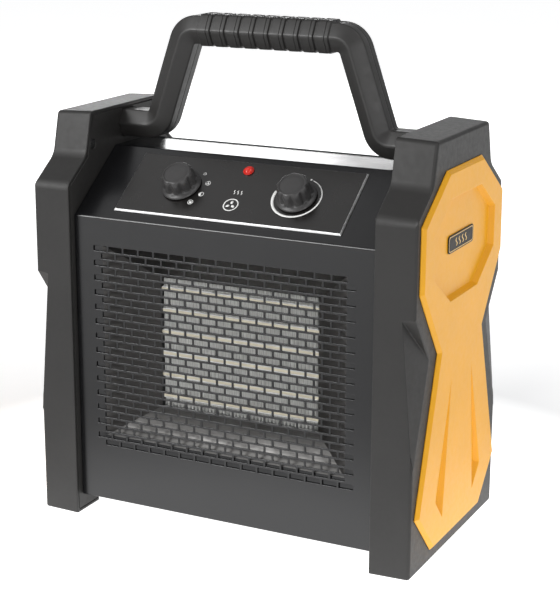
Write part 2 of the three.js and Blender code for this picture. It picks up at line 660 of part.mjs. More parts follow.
function heaterBlock() {
  const low = [HEAT_X + GAP, HEAT_FRONT - 1, HEAT_LOW - 3];
  const high = [HEAT_X + HEAT_END, HEAT_BACK + 1, HEAT_HIGH + 3];
  return cut(block(low, high), Array.from({ length: HEAT_ROWS }, (_, row) => ceramicBar(row, GAP)));
}

function buildHeatingBlock() {
  for (let row = 0; row < HEAT_ROWS; row += 1) {
    place(`ceramic_bar_${row + 1}`, ceramicBar(row, 0), CERAMIC);
  }
  for (let row = 0; row <= HEAT_ROWS; row += 1) {
    const low = row === 0 ? HEAT_LOW : barLevel(row - 1) + BAR / 2;
    const high = row === HEAT_ROWS ? HEAT_HIGH : barLevel(row) - BAR / 2;
    place(`fin_pack_${row + 1}`, finPack(low + GAP, high - GAP), ALUMINIUM);
  }
  placePair('heater_block', heaterBlock(), DARK_NYLON);
  const rail = (z0, z1) => block([-HEAT_X, HEAT_FRONT, z0], [HEAT_X, HEAT_BACK, z1]);
  place('heater_top_rail', rail(HEAT_HIGH + GAP, HEAT_HIGH + 2.8), GALVANISED);
  place('heater_bottom_rail', rail(HEAT_LOW - 2.8, HEAT_LOW - GAP), GALVANISED);
}

// A four-sided ring at one Y.
const frame = (x, z0, z1, y) => [v3(-x, y, z0), v3(x, y, z0), v3(x, y, z1), v3(-x, y, z1)];

function outletFunnel() {
  const front = -BODY_FRONT + SHEET + GAP;
  const back = HEAT_FRONT - 1 - GAP;
  const wall = 0.8;
  const [x, low, high] = MOUTH;
  const throat = [HEAT_X + 0.5, HEAT_LOW - 0.5, HEAT_HIGH + 0.5];
  const outer = loft([frame(x + wall, low - wall, high + wall, front),
    frame(throat[0] + wall, throat[1] - wall, throat[2] + wall, back)]);
  const inner = loft([frame(x + 1.2, low - 0.75, high + 0.95, front - 1),
    frame(x, low, high, front), frame(...throat, back), frame(...throat, back + 1)]);
  const flange = block([-x - 13, front, low - 12], [x + 13, front + wall, high + 1.4]);
  return cut(join(outer, [flange]), [inner]);
}

// ---------------------------------------------------------------- fan
const FAN_Z = HEAT_MID;

// The bulkhead with the fan ring behind it and a tapering duct in front, up to the heating block.
function fanShroud() {
  const low = [-INNER_X, BULKHEAD_Y, BODY_BOTTOM + 3];
  const plate = block(low, [INNER_X, BULKHEAD_Y + SHEET, PARTITION_Z - 1]);
  const ring = rod('y', RING_RADIUS + SHEET, BULKHEAD_Y, RING_BACK, [0, FAN_Z], 40);
  const hole = rod('y', RING_RADIUS, BULKHEAD_Y - 1, RING_BACK + 1, [0, FAN_Z], 40);
  const front = HEAT_BACK + 1 + GAP;
  const x = HEAT_X + HEAT_END;
  const duct = (grow, y0, y1) => loft([
    frame(x + grow, HEAT_LOW - 3 - grow, HEAT_HIGH + 3 + grow, y0),
    frame(x + grow, FAN_Z - RING_RADIUS - 4 - grow, FAN_Z + RING_RADIUS + 4 + grow, y1)]);
  const inside = duct(0, front - 0.01, BULKHEAD_Y + 0.51);
  const plenum = cut(duct(SHEET, front, BULKHEAD_Y + 0.5), [inside]);
  return cut(join(plate, [ring, plenum]), [hole]);
}

// A blade is a twisted plate from the hub to the tip.
function fanBlade(turn) {
  const rings = [];
  for (let i = 0; i <= BLADE_STEPS; i += 1) {
    const t = i / BLADE_STEPS;
    const radius = THREE.MathUtils.lerp(HUB_RADIUS - 1, FAN_RADIUS, t);
    const pitch = THREE.MathUtils.degToRad(THREE.MathUtils.lerp(...BLADE_PITCH, t));
    const reach = THREE.MathUtils.lerp(...BLADE_CHORD, t) / 2;
    const along = reach * Math.cos(pitch);
    const depth = Math.min(reach * Math.sin(pitch), FAN_DEPTH / 2 - 1);
    const corner = (u, w) => v3(u * along, (w * BLADE_THICK) / 2 + u * depth, radius);
    rings.push([corner(-1, -1), corner(1, -1), corner(1, 1), corner(-1, 1)]);
  }
  return loft(rings).rotateY(turn);
}

function fanRotor() {
  const hub = rod('y', HUB_RADIUS, -FAN_DEPTH / 2, FAN_DEPTH / 2, [0, 0], 28);
  const blades = Array.from({ length: FAN_BLADES }, (_, i) => fanBlade((2 * Math.PI * i) / FAN_BLADES));
  const bore = rod('y', MOTOR_BORE, -FAN_DEPTH / 2 + 4, FAN_DEPTH, [0, 0], 16);
  return cut(join(hub, blades), [bore]).translate(0, FAN_FRONT + FAN_DEPTH / 2, FAN_Z);
}

const motorShaft = () => rod('y', MOTOR_SHAFT, FAN_FRONT + 4.4, MOTOR_FRONT + MOTOR_GRIP, [0, FAN_Z], 16);

function fanMotor() {
  const back = MOTOR_FRONT + MOTOR_LENGTH;
  const can = rod('y', MOTOR_RADIUS, MOTOR_FRONT, back, [0, FAN_Z], 32);
  const nose = rod('y', MOTOR_NOSE, MOTOR_FRONT - 5, MOTOR_FRONT + 1, [0, FAN_Z], 20);
  const tail = rod('y', MOTOR_NOSE, back - 1, back + 4, [0, FAN_Z], 20);
  const bore = rod('y', MOTOR_BORE, MOTOR_FRONT - 6, MOTOR_FRONT + MOTOR_GRIP + 1, [0, FAN_Z], 16);
  return cut(join(can, [nose, tail]), [bore]);
}

// A four-armed strap that carries the motor behind the fan ring.
function motorBracket() {
  const [front, back, half] = [BRACKET_Y, BRACKET_Y + BRACKET_SHEET, BRACKET_WIDTH / 2];
  const foot = BULKHEAD_Y + SHEET + GAP;
  const collar = rod('y', 20, front, back, [0, FAN_Z], 28);
  const arms = [45, 135, 225, 315].flatMap((degrees) => {
    const turn = THREE.MathUtils.degToRad(degrees);
    const arm = block([-half, front, 15], [half, back, BRACKET_REACH]);
    const leg = block([-half, foot, BRACKET_REACH - BRACKET_SHEET], [half, back, BRACKET_REACH]);
    return [arm, leg].map((piece) => piece.rotateY(turn).translate(0, 0, FAN_Z));
  });
  return cut(join(collar, arms), [rod('y', MOTOR_NOSE + GAP, front - 1, back + 1, [0, FAN_Z], 20)]);
}

// ---------------------------------------------------------------- electrics
function partitionPlate() {
  const plate = block([-INNER_X, -83, PARTITION_Z], [INNER_X, 78, PARTITION_Z + 1]);
  const hole = (radius, at) => rod('z', radius, PARTITION_Z - 1, PARTITION_Z + 2, at, 16);
  return cut(plate, [hole(7, LOOM_HOLE), hole(3, [BULB_AT[0], 70])]);
}

function terminalBlock() {
  const z = PARTITION_Z + 1 + GAP;
  const body = block([80, 30, z], [126, 52, z + 16]);
  const wells = Array.from({ length: 5 }, (_, i) => rod('z', 2.6, z + 8, z + 17, [85 + i * 9, 41], 10));
  return cut(body, wells);
}

// The low bushing in the rear wall that the supply cable comes in through.
function cableGland() {
  const inner = rod('y', GLAND_BODY, 78, BODY_FRONT + 2, GLAND_AT, 20);
  const nut = rod('y', GLAND_NUT, 80, BODY_FRONT - SHEET - GAP, GLAND_AT, 6);
  const collar = rod('y', GLAND_NUT, BODY_FRONT + GAP, BODY_FRONT + 3.5, GLAND_AT, 6);
  const dome = new THREE.CylinderGeometry(6.5, 9, 4.5, 20);
  dome.translate(GLAND_AT[0], BODY_FRONT + 5.5, GLAND_AT[1]);
  const bore = rod('y', GLAND_BORE, 77, BODY_FRONT + 9, GLAND_AT, 20);
  return cut(join(inner, [nut, collar, dome]), [bore]);
}

function thermalCutout() {
  const z = HEAT_HIGH + 2.8 + GAP;
  const can = rod('z', 8, z, z + 6, [40, -42], 20);
  const flange = block([28, -46, z], [52, -38, z + 1.4]);
  const tabs = [36, 42].map((x) => block([x, -43, z + 5], [x + 1, -38, z + 14]));
  return join(can, [flange, ...tabs]);
}

// The bundle of wires from the switch, through the partition, to the heating block.
const wiringLoom = () => toGeometry(toSolid(wire(3, 20, 4, LOOM_PATH)));

// ---------------------------------------------------------------- assembly
placePair('cap_shell', capShell(), CAP_BLACK);
placePair('cap_cover', capCover(), CAP_BLACK);
placePair('side_insert', insertPlate(), YELLOW);
placePair('badge_plate', badge(), BADGE_BLACK);
placePair('cap_screw_front', capScrew(-1), STEEL);
placePair('cap_screw_rear', capScrew(1), STEEL);
placePair('side_plate', sidePlate(), GALVANISED);

place('front_panel', frontPanel(), PAINT);
place('rear_panel', rearPanel(), PAINT);
place('base_panel', basePanel(), PAINT);

place('control_plate', controlPlate(), PAINT, slope);
const controls = [['selector', -KNOB_X, SELECTOR_REST, [32, 36, 24]],
  ['thermostat', KNOB_X, THERMOSTAT_REST, [34, 30, 18.8]]];
for (const [name, x, rest, size] of controls) {
  const control = new THREE.Group();
  control.position.set(x, KNOB_UP, 0);
  slope.add(control);
  place(`${name}_knob`, knob(rest), KNOB_BLACK, control);
  place(`${name}_shaft`, shaft(), STEEL, control);
  place(`${name}_case`, controlCase(...size), WHITE_NYLON, control);
}
place('pilot_lamp_lens', lampLens(), LENS_RED, slope);
place('pilot_lamp_body', lampBody(), DARK_NYLON, slope);
place('thermostat_capillary', capillary(), COPPER);

place('handle_front_half', handleHalf(-1), HANDLE_GREY);
place('handle_rear_half', handleHalf(1), HANDLE_GREY);

buildHeatingBlock();
place('outlet_funnel', outletFunnel(), GALVANISED);
place('fan_shroud', fanShroud(), GALVANISED);
place('fan_rotor', fanRotor(), DARK_NYLON);
place('motor_shaft', motorShaft(), STEEL);
place('fan_motor', fanMotor(), STEEL);
place('motor_bracket', motorBracket(), GALVANISED);

place('partition_plate', partitionPlate(), GALVANISED);
place('terminal_block', terminalBlock(), WHITE_NYLON);
place('cable_gland', cableGland(), DARK_NYLON);
place('thermal_cutout', thermalCutout(), STEEL);
place('wiring_loom', wiringLoom(), WIRE);

export default heater;
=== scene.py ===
import json
import math

import bmesh
import bpy
from mathutils import Matrix, Vector


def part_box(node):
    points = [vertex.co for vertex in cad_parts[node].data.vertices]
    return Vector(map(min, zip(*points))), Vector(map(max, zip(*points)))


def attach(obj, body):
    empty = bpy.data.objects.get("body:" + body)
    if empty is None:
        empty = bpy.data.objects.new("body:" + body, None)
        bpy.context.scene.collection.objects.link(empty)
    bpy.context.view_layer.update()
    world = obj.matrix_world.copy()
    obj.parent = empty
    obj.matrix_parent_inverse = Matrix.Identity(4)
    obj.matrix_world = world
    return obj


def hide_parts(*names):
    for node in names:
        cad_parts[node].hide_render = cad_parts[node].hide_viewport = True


# Ceramic space heater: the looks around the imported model. Metres in the scene, millimetres below.
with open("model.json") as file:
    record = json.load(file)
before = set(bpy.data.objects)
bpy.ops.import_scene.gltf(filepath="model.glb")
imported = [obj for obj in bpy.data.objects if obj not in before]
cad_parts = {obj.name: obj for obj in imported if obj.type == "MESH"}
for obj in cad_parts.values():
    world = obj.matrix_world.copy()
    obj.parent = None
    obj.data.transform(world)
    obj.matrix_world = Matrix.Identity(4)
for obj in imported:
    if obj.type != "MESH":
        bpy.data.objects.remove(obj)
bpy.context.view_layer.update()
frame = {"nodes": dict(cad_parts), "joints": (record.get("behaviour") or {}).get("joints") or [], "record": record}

MM = 0.001
BODY_OF = {n: body for body, nodes in frame["record"]["behaviour"]["bodies"].items() for n in nodes}
SLOT_OF = {part["node"]: part["material_slot"] for part in frame["record"]["subparts"]}

# end caps: how far their edges are rounded, and the share of it that each edge takes
CAP_ROUND = 5.0
ROUND_TOP = 0.64
ROUND_SHOULDER = 1.0
ROUND_OUTER = 0.52
ROUND_INNER = 0.2
ROUND_FOOT = 0.4
ROUND_NOTCH = 0.12

# what tells the caps' edges apart, X and Y as distances from the middle: the faces, the hollow and the notch
CAP_INNER_X = 136.1
CAP_LEDGE_X = 157
CAP_OUTER_X = 169.9
CAP_CROSSING = 25
CAP_HOLLOW_Y = 55
CAP_HOLLOW_Z = 341
CAP_TOP_Z = 340
CAP_SHOULDER_Z = 280
CAP_FOOT_Y = 90
NOTCH_Y = (60, 94)
NOTCH_Z = (79, 214)
NOTCH_TOP_Z = 230

# side inserts: the right half of each outline seen from the side, from the bottom up, as Y and Z
INSERT_HALF = [(53, 10.8), (87.9, 48.5), (48.2, 173.5), (88.6, 229.5), (88, 281.8), (38.4, 316.3)]
POCKET_HALF = [(30.2, 211.6), (66.9, 236.6), (67.5, 270.2), (33, 293.8)]
GROOVE = [(34.6, 33), (50.7, 51), (22.4, 146.5)]
GROOVE_FOOT_Z = 100
GROOVE_TIP_DEPTH = 0.3
INSERT_BACK = 165.5
INSERT_BASE = 170.05
INSERT_CROWN = 173.5
INSERT_PLUG = 12
INSERT_LIP = 0.75
INSERT_CHAMFER = 3
CROWN_STRIP = 1.2
RECESS_FLOOR = 168.5
RECESS_DRAFT = 2.5
CORNER = 1.2

# badge plates: the light line's margins, and the heat waves
BADGE_MARGINS = (0.95, 1.6)
BADGE_CORNER = 3.4
BADGE_RISE = 0.02
BADGE_WAVE_PITCH = 7
BADGE_WAVE_HEIGHT = 6.4
BADGE_WAVE_SWING = 1.5
BADGE_WAVE_HALF = 0.9

# folded sheet body
SHEET = 1.2
FOLD_Z = 261.2
TOP_Y = 22
FOLD_RADIUS = 2.4
FRONT_ROWS = 28
FRONT_COLUMNS = 16
REAR_ROWS = 22
REAR_COLUMNS = 12
SLOT = (12.5, 4.3)
SLOT_PITCH = (14.42, 6.24)
GRILLE_TOP = 235.2
REAR_GRILLE_TOP = 217.0

# handle, the same line as the CAD halves
GRIP_Z = 408.3
LEG_X = 73.9
LEG_LEAN = math.radians(18.9)
STUB_Z = 326.3
STUB_END = 158
BEND = 14
BEND_STEPS = 12
HANDLE_HALF = 11.6
HANDLE_FLAT = 8.5
HANDLE_RIDGE = 15
HANDLE_WALL = 2.5
HANDLE_CORNERS = [1.8, 3.2, 1.8]
HOLLOW_FLAT = 7.1
HOLLOW_RIDGE = 12.1
PARTING = 0.12
RIBS = 9
RIB_PITCH = 13.3
RIB_WIDTH = 10.6
RIB_RISE = 1.6
RIB_CLEFT = (7.32, 7.46, 7.74, 7.88)
RIB_CLEFT_DEPTH = 0.55
RIB_BACK_DROP = 0.1
POCKET_ALONG = (1.6, 6.8)
POCKET_DEEP = (1.9, 7.3)
POCKET_DROP = 1.2
POCKET_EDGE = 0.2

# knobs; the pointer's slit is given by its half angle in radians
KNOB_X = 52
KNOB_RADIUS = 13.9
KNOB_SKIRT = 16.8
KNOB_FLUTES = 9
FLUTE_DEPTH = 1.7
FLUTE_STEPS = 16
KNOB_LOW = 2.6
KNOB_TOP = 17.7
SLIT_DEPTH = 1.6
SLIT_HALF = 0.032
SLIT_BOTTOM = 9

# pilot lamp
LAMP_UP = 22.6
LAMP_SEAT = 2.2
LAMP_RADIUS = 4.6
LAMP_COLLAR = 0.6
DOME_BASE = 0.85
LAMP_HEIGHT = 3.0
LAMP_STEPS = 40

# printing on the control plate: radius and angle of the selector's marks, and the thermostat's widening arc
PLATE_FACE = 1.9
PRINT_RISE = 0.03
PRINT_THICK = 0.05
SELECTOR_MARKS = [(21.2, 45), (22.6, 14), (21.9, -18), (22.2, -47)]
SCALE_RADIUS = 20.3
SCALE_START = math.radians(70)
SCALE_END = math.radians(-194)
SCALE_STEPS = 64
SCALE_THIN = 0.75
SCALE_GROWTH = 1.75
STAR_SPOT = (20.6, 76)
STAR_REACH = 1.1
STAR_TILT = 0.3
STAR_LINE = 0.4
AIRFLOW_SPOT = (-0.8, -14.6)
HEAT_SPOT = (0.2, -1.0)
HEAT_PITCH = 3.2
HEAT_HEIGHT = 4
HEAT_SWING = 0.55
HEAT_WIDTH = 0.75

# heating block
ELECTRODE = 0.7
ELECTRODE_INSET = 6.4
ELECTRODE_PROUD = 0.5
ELECTRODE_GAP = 0.02
FIN_PITCH = 3.3
FIN_SHEET = 0.34
FIN_FOLD = 0.35
FIN_SHADE_DEPTH = 8

# faces of the control plate smaller than this, in square metres, are its cut edges
CUT_EDGE_AREA = 1e-3

# stage, in metres
FLOOR_HALF = 14

# camera
CAMERA_AT = Vector((604.169, -1194.757, 552.649)) * MM
CAMERA_AZIMUTH = math.radians(26.4442)
CAMERA_ELEVATION = math.radians(15.3987)
CAMERA_ROLL = math.radians(0.1541)
CAMERA_LENS = 98.58
CAMERA_SENSOR = 36


# ------------------------------------------------------------------ materials
class Nodes:
    """A small helper to build one material's node tree."""

    def __init__(self, name):
        self.material = bpy.data.materials.new(name)
        self.material.use_nodes = True
        self.tree = self.material.node_tree
        self.shader = self.tree.nodes["Principled BSDF"]
        self.place = self.add("ShaderNodeTexCoord").outputs["Object"]

    def add(self, kind, **settings):
        node = self.tree.nodes.new(kind)
        for key, value in settings.items():
            setattr(node, key, value)
        return node

    def link(self, source, target):
        self.tree.links.new(source, target)

    def noise(self, scale, detail=3.0, stretch=None):
        texture = self.add("ShaderNodeTexNoise")
        texture.inputs["Scale"].default_value = scale
        texture.inputs["Detail"].default_value = detail
        place = self.place
        if stretch:
            mapping = self.add("ShaderNodeMapping")
            mapping.inputs["Scale"].default_value = stretch
            self.link(self.place, mapping.inputs["Vector"])
            place = mapping.outputs["Vector"]
        self.link(place, texture.inputs["Vector"])
        return texture.outputs["Fac"]

    def spread(self, value, low, high, start=0.3, end=0.7):
        """Maps start..end, which is a texture's middle range unless given, to low..high."""
        ramp = self.add("ShaderNodeMapRange")
        ramp.inputs["From Min"].default_value = start
        ramp.inputs["From Max"].default_value = end
        ramp.inputs["To Min"].default_value = low
        ramp.inputs["To Max"].default_value = high
        self.link(value, ramp.inputs["Value"])
        return ramp.outputs["Result"]

    def mix(self, factor, first, second):
        node = self.add("ShaderNodeMix", data_type="RGBA")
        self.link(factor, node.inputs["Factor"])
        for socket, value in ((node.inputs[6], first), (node.inputs[7], second)):
            if isinstance(value, tuple):
                socket.default_value = (*value, 1)
            else:
                self.link(value, socket)
        return node.outputs[2]

    def join(self, operation, first, second):
        node = self.add("ShaderNodeMath", operation=operation)
        self.link(first, node.inputs[0])
        self.link(second, node.inputs[1])
        return node.outputs["Value"]

    def bump(self, height, distance):
        node = self.add("ShaderNodeBump")
        node.inputs["Distance"].default_value = distance
        self.link(height, node.inputs["Height"])
        return node.outputs["Normal"]


def srgb(red, green, blue):
    """A colour as a screen shows it, 0 to 255, in the linear values that a shader takes."""
    def linear(value):
        v = value / 255
        return v / 12.92 if v <= 0.04045 else ((v + 0.055) / 1.055) ** 2.4
    return linear(red), linear(green), linear(blue)


def scaled(colour, factor):
    return tuple(min(1.0, c * factor) for c in colour)


def moulded(name, colour, rough, grain=0.00003, grain_scale=2200, mottle=0.10, wear=0.25, specular=0.5):
    """Moulded plastic: fine spark-eroded grain, faint mottling, and edges rubbed a little lighter."""
    n = Nodes(name)
    base = n.mix(n.spread(n.noise(24), 0, 1), scaled(colour, 1 - mottle), scaled(colour, 1 + mottle))
    edges = n.spread(n.add("ShaderNodeNewGeometry").outputs["Pointiness"], 0, wear, 0.52, 0.62)
    worn = n.mix(edges, base, scaled(colour, 2.2))
    n.link(worn, n.shader.inputs["Base Color"])
    n.link(n.spread(n.noise(240, 4), rough - 0.04, rough + 0.05), n.shader.inputs["Roughness"])
    n.link(n.bump(n.noise(grain_scale, 2), grain), n.shader.inputs["Normal"])
    n.shader.inputs["Specular IOR Level"].default_value = specular
    return n.material


def enamel(name, colour, rough, specular):
    """Stoved paint on sheet steel: a trace of orange peel, dust specks and slow changes in gloss."""
    n = Nodes(name)
    specks = n.spread(n.noise(900, 1), 0, 0.5, 0.72, 0.8)
    base = n.mix(specks, colour, scaled(colour, 2.0))
    n.link(base, n.shader.inputs["Base Color"])
    n.link(n.spread(n.noise(40, 2), rough - 0.015, rough + 0.02), n.shader.inputs["Roughness"])
    n.link(n.bump(n.noise(420, 2), 0.000005), n.shader.inputs["Normal"])
    n.shader.inputs["Specular IOR Level"].default_value = specular
    return n.material


def metal(name, colour, rough, brush=(1, 1, 1), scratch=0.000006, spangle=0.0):
    """Bare metal: brushed or rolled lines along one axis, and zinc spangle where there is some."""
    n = Nodes(name)
    lines = n.noise(260, 4, brush)
    base = n.mix(n.spread(lines, 0, 1), scaled(colour, 0.86), scaled(colour, 1.06))
    if spangle:
        cells = n.add("ShaderNodeTexVoronoi")
        cells.inputs["Scale"].default_value = 130
        n.link(n.place, cells.inputs["Vector"])
        tint = n.spread(cells.outputs["Color"], 0, spangle, 0, 1)
        base = n.mix(tint, base, scaled(colour, 0.55))
    n.link(base, n.shader.inputs["Base Color"])
    n.link(n.spread(n.noise(35, 4), rough - 0.06, rough + 0.1), n.shader.inputs["Roughness"])
    n.link(n.bump(lines, scratch), n.shader.inputs["Normal"])
    n.shader.inputs["Metallic"].default_value = 1.0
    return n.material


def fin_strip_painted_shade(name, colour, front, depth):
    """Folded strip with painted shade: its colour is brightest at the front edge and darkens inwards, standing in
    for the shade down between its folds.
    """
    n = Nodes(name)
    apart = n.add("ShaderNodeSeparateXYZ")
    n.link(n.place, apart.inputs[0])
    painted_shade_inwards = n.spread(apart.outputs["Y"], 0, 1, front, front + depth)
    lines = n.mix(n.spread(n.noise(260, 4, (1, 14, 1)), 0, 1), scaled(colour, 0.8), scaled(colour, 1.1))
    # painted shade: deeper than the front edge the colour fades to near black
    n.link(n.mix(painted_shade_inwards, lines, scaled(colour, 0.08)), n.shader.inputs["Base Color"])
    n.link(n.spread(n.noise(70, 3), 0.35, 0.5), n.shader.inputs["Roughness"])
    n.shader.inputs["Metallic"].default_value = 0.7
    return n.material


def clear_lens(name, colour):
    """Tinted clear plastic with a fine moulded pattern."""
    n = Nodes(name)
    base = n.mix(n.spread(n.noise(500, 2), 0, 1), scaled(colour, 0.7), scaled(colour, 1.3))
    n.link(base, n.shader.inputs["Base Color"])
    n.link(n.spread(n.noise(90), 0.04, 0.12), n.shader.inputs["Roughness"])
    n.link(n.bump(n.noise(900, 1), 0.00001), n.shader.inputs["Normal"])
    n.shader.inputs["Transmission Weight"].default_value = 0.25
    n.shader.inputs["Coat Weight"].default_value = 0.6
    return n.material


def printed(name, colour):
    """Screen-printed ink: slightly uneven in cover and in gloss."""
    n = Nodes(name)
    base = n.mix(n.spread(n.noise(700, 3), 0, 1), scaled(colour, 0.93), colour)
    n.link(base, n.shader.inputs["Base Color"])
    n.link(n.spread(n.noise(300), 0.45, 0.6), n.shader.inputs["Roughness"])
    return n.material


CAP_PLASTIC = moulded("cap_plastic", srgb(38, 37, 36), 0.5, specular=0.45)
HANDLE_PLASTIC = moulded("handle_plastic", srgb(40, 39, 38), 0.42, specular=0.5)
KNOB_PLASTIC = moulded("knob_plastic", srgb(56, 55, 55), 0.4, 0.00001, 3000)
YELLOW_PLASTIC = moulded("yellow_plastic", srgb(235, 167, 8), 0.42, 0.000012, 2600, 0.03, 0.12)
BADGE_PLASTIC = moulded("badge_plastic", srgb(34, 30, 24), 0.5, 0.000006, 3000, 0.05, 0.1, 0.3)
BADGE_RIM = moulded("badge_rim", srgb(226, 186, 120), 0.4, 0.000006, 3000, 0.05, 0.1)
BLACK_PAINT = enamel("black_paint", srgb(12, 12, 14), 0.25, 0.6)
PLATE_PAINT = enamel("plate_paint", srgb(22, 20, 19), 0.28, 0.7)
GALVANISED = metal("galvanised_sheet", (0.50, 0.50, 0.50), 0.42, (1, 1, 12), 0.000004, 0.25)
# the funnel's walls are a darkened copy of the galvanised sheet as painted shade, and its floor a lighter copy as
# painted light
FUNNEL_SHEET_PAINTED_SHADE = metal("funnel_sheet_painted_shade", (0.075, 0.072, 0.07), 0.42, (1, 1, 12), 0.000004, 0.2)
FUNNEL_FLOOR_PAINTED_LIGHT = metal("funnel_floor_painted_light", (0.15, 0.147, 0.143), 0.42, (1, 1, 12), 0.000004, 0.2)
BLACK_STEEL = metal("black_steel", (0.09, 0.09, 0.09), 0.36, (10, 1, 1))
STEEL = metal("steel", (0.56, 0.56, 0.57), 0.3, (10, 1, 1))
ALUMINIUM = metal("aluminium", (0.82, 0.82, 0.82), 0.34, (1, 14, 1))
FIN_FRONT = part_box("fin_pack_1")[0].y
# the fins' aluminium, with painted shade darkening it between the folds
FIN_ALUMINIUM_PAINTED_SHADE = fin_strip_painted_shade("fin_aluminium_painted_shade", (0.8, 0.8, 0.78), FIN_FRONT, FIN_SHADE_DEPTH * MM)
BARE_EDGE = metal("bare_edge", (0.85, 0.85, 0.85), 0.4, (14, 1, 1))
COPPER = metal("copper", (0.80, 0.42, 0.28), 0.32)
CERAMIC = moulded("ceramic", srgb(226, 218, 196), 0.55, 0.00002, 1500, 0.08, 0.0)
WHITE_NYLON = moulded("white_nylon", srgb(216, 213, 205), 0.45, 0.00001)
DARK_NYLON = moulded("dark_nylon", srgb(40, 40, 40), 0.42, 0.00001)
WIRE_SLEEVE = moulded("wire_insulation", srgb(140, 46, 36), 0.5, 0.00003, 900)
RED_LENS = clear_lens("red_lens", srgb(226, 40, 24))
WHITE_INK = printed("white_ink", srgb(240, 240, 238))
MATERIALS = {
    "cap_plastic": CAP_PLASTIC, "handle_plastic": HANDLE_PLASTIC, "knob_plastic": KNOB_PLASTIC,
    "yellow_plastic": YELLOW_PLASTIC, "badge_plastic": BADGE_PLASTIC, "black_paint": BLACK_PAINT,
    "galvanised_sheet": GALVANISED, "steel": STEEL, "aluminium": ALUMINIUM, "ceramic": CERAMIC,
    "white_nylon": WHITE_NYLON, "dark_nylon": DARK_NYLON, "copper": COPPER, "red_lens": RED_LENS,
    "wire_insulation": WIRE_SLEEVE,
}


# ------------------------------------------------------------------ mesh helpers
def piece_from(bm, name, material, body="housing", replaces=(), sharp=35):
    """Makes an object from a bmesh, shades it smooth up to an angle, and lets it ride on its body."""
    bmesh.ops.recalc_face_normals(bm, faces=bm.faces)
    mesh = bpy.data.meshes.new(name)
    bm.to_mesh(mesh)
    bm.free()
    mesh.shade_smooth()
    mesh.set_sharp_from_angle(angle=math.radians(sharp))
    mesh.materials.append(material)
    piece = bpy.data.objects.new(name, mesh)
    bpy.context.scene.collection.objects.link(piece)
    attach(piece, body)
    if replaces:
        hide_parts(*replaces)
    return piece


def bevel(piece, width, segments=2, angle=30, by_weight=False, clamp=True):
    """Rounds the edges of a piece and keeps its flat faces flat in the shading."""
    modifier = piece.modifiers.new("edges", "BEVEL")
    modifier.width = width * MM
    modifier.segments = segments
    modifier.limit_method = "WEIGHT" if by_weight else "ANGLE"
    modifier.angle_limit = math.radians(angle)
    modifier.use_clamp_overlap = clamp
    modifier.miter_outer = "MITER_ARC"
    normals = piece.modifiers.new("normals", "WEIGHTED_NORMAL")
    normals.keep_sharp = True


def softened(node, width, material=None, segments=2, angle=30, weigh=None):
    """The CAD node's shape with whole flat faces and rounded edges, in place of the sharp one."""
    bm = bmesh.new()
    bm.from_mesh(frame["nodes"][node].data)
    bmesh.ops.remove_doubles(bm, verts=bm.verts, dist=1e-6)
    bmesh.ops.dissolve_limit(bm, angle_limit=math.radians(0.5), verts=bm.verts, edges=bm.edges)
    if weigh:
        layer = bm.edges.layers.float.new("bevel_weight_edge")
        for edge in bm.edges:
            edge[layer] = weigh(edge)
    slot = SLOT_OF[node]
    material = material or MATERIALS[slot]
    piece = piece_from(bm, f"{node}_shape", material, BODY_OF[node], [node], 30 if width else 35)
    if width:
        bevel(piece, width, segments, angle, bool(weigh), clamp=not weigh)
    return piece


def arc(centre, radius, start, end, steps):
    """Points on an arc, both ends included, angles in radians."""
    turns = [start + (end - start) * i / steps for i in range(steps + 1)]
    return [(centre[0] + radius * math.cos(t), centre[1] + radius * math.sin(t)) for t in turns]


def filleted(points, radii, steps=5):
    """An open outline with its inner corners rounded, each to its own radius."""
    result = [points[0]]
    for before, corner, after, radius in zip(points, points[1:], points[2:], radii):
        a = (Vector(before) - Vector(corner)).normalized()
        b = (Vector(after) - Vector(corner)).normalized()
        half = a.angle(b) / 2
        reach = radius / math.tan(half)
        centre = Vector(corner) + (a + b).normalized() * (radius / math.sin(half))
        first = Vector(corner) + a * reach - centre
        last = Vector(corner) + b * reach - centre
        turn = first.angle_signed(last)
        for i in range(steps + 1):
            spoke = first.copy()
            spoke.rotate(Matrix.Rotation(-turn * i / steps, 2))
            result.append(tuple(centre + spoke))
    result.append(points[-1])
    return result


def inset(outline, distance):
    """A closed outline, counterclockwise, with every edge moved inwards."""
    lines = []
    for start, end in zip(outline, [*outline[1:], outline[0]]):
        normal = Vector((start[1] - end[1], end[0] - start[0])).normalized()
        lines.append((normal, normal.dot(Vector(start)) + distance))
    moved = []
    for (n, c), (m, e) in zip([lines[-1], *lines], lines):
        cross = n.x * m.y - n.y * m.x
        moved.append(((c * m.y - e * n.y) / cross, (n.x * e - m.x * c) / cross))
    return moved


def rounded(outline, radius, steps=3):
    """A closed outline with all its corners rounded."""
    return filleted([outline[-1], *outline, outline[0]], [radius] * len(outline), steps)[1:-1]


def mirrored(half):
    """The whole outline, counterclockwise, from its right half."""
    return [*half, *[(-y, z) for y, z in reversed(half)]]


def strip_faces(bm, rows, closed=False):
    """Quads between rows of vertices that all have the same length."""
    for low, high in zip(rows, rows[1:]):
        count = len(low)
        for i in range(count if closed else count - 1):
            j = (i + 1) % count
            bm.faces.new((low[i], low[j], high[j], high[i]))


def lathe_faces(bm, rows, steps):
    """Faces between rings of vertices, where a ring of one vertex is a point on the axis."""
    for low, high in zip(rows, rows[1:]):
        for i in range(steps):
            j = (i + 1) % steps
            corners = [low[i % len(low)], low[j % len(low)], high[j % len(high)], high[i % len(high)]]
            bm.faces.new(list(dict.fromkeys(corners)))


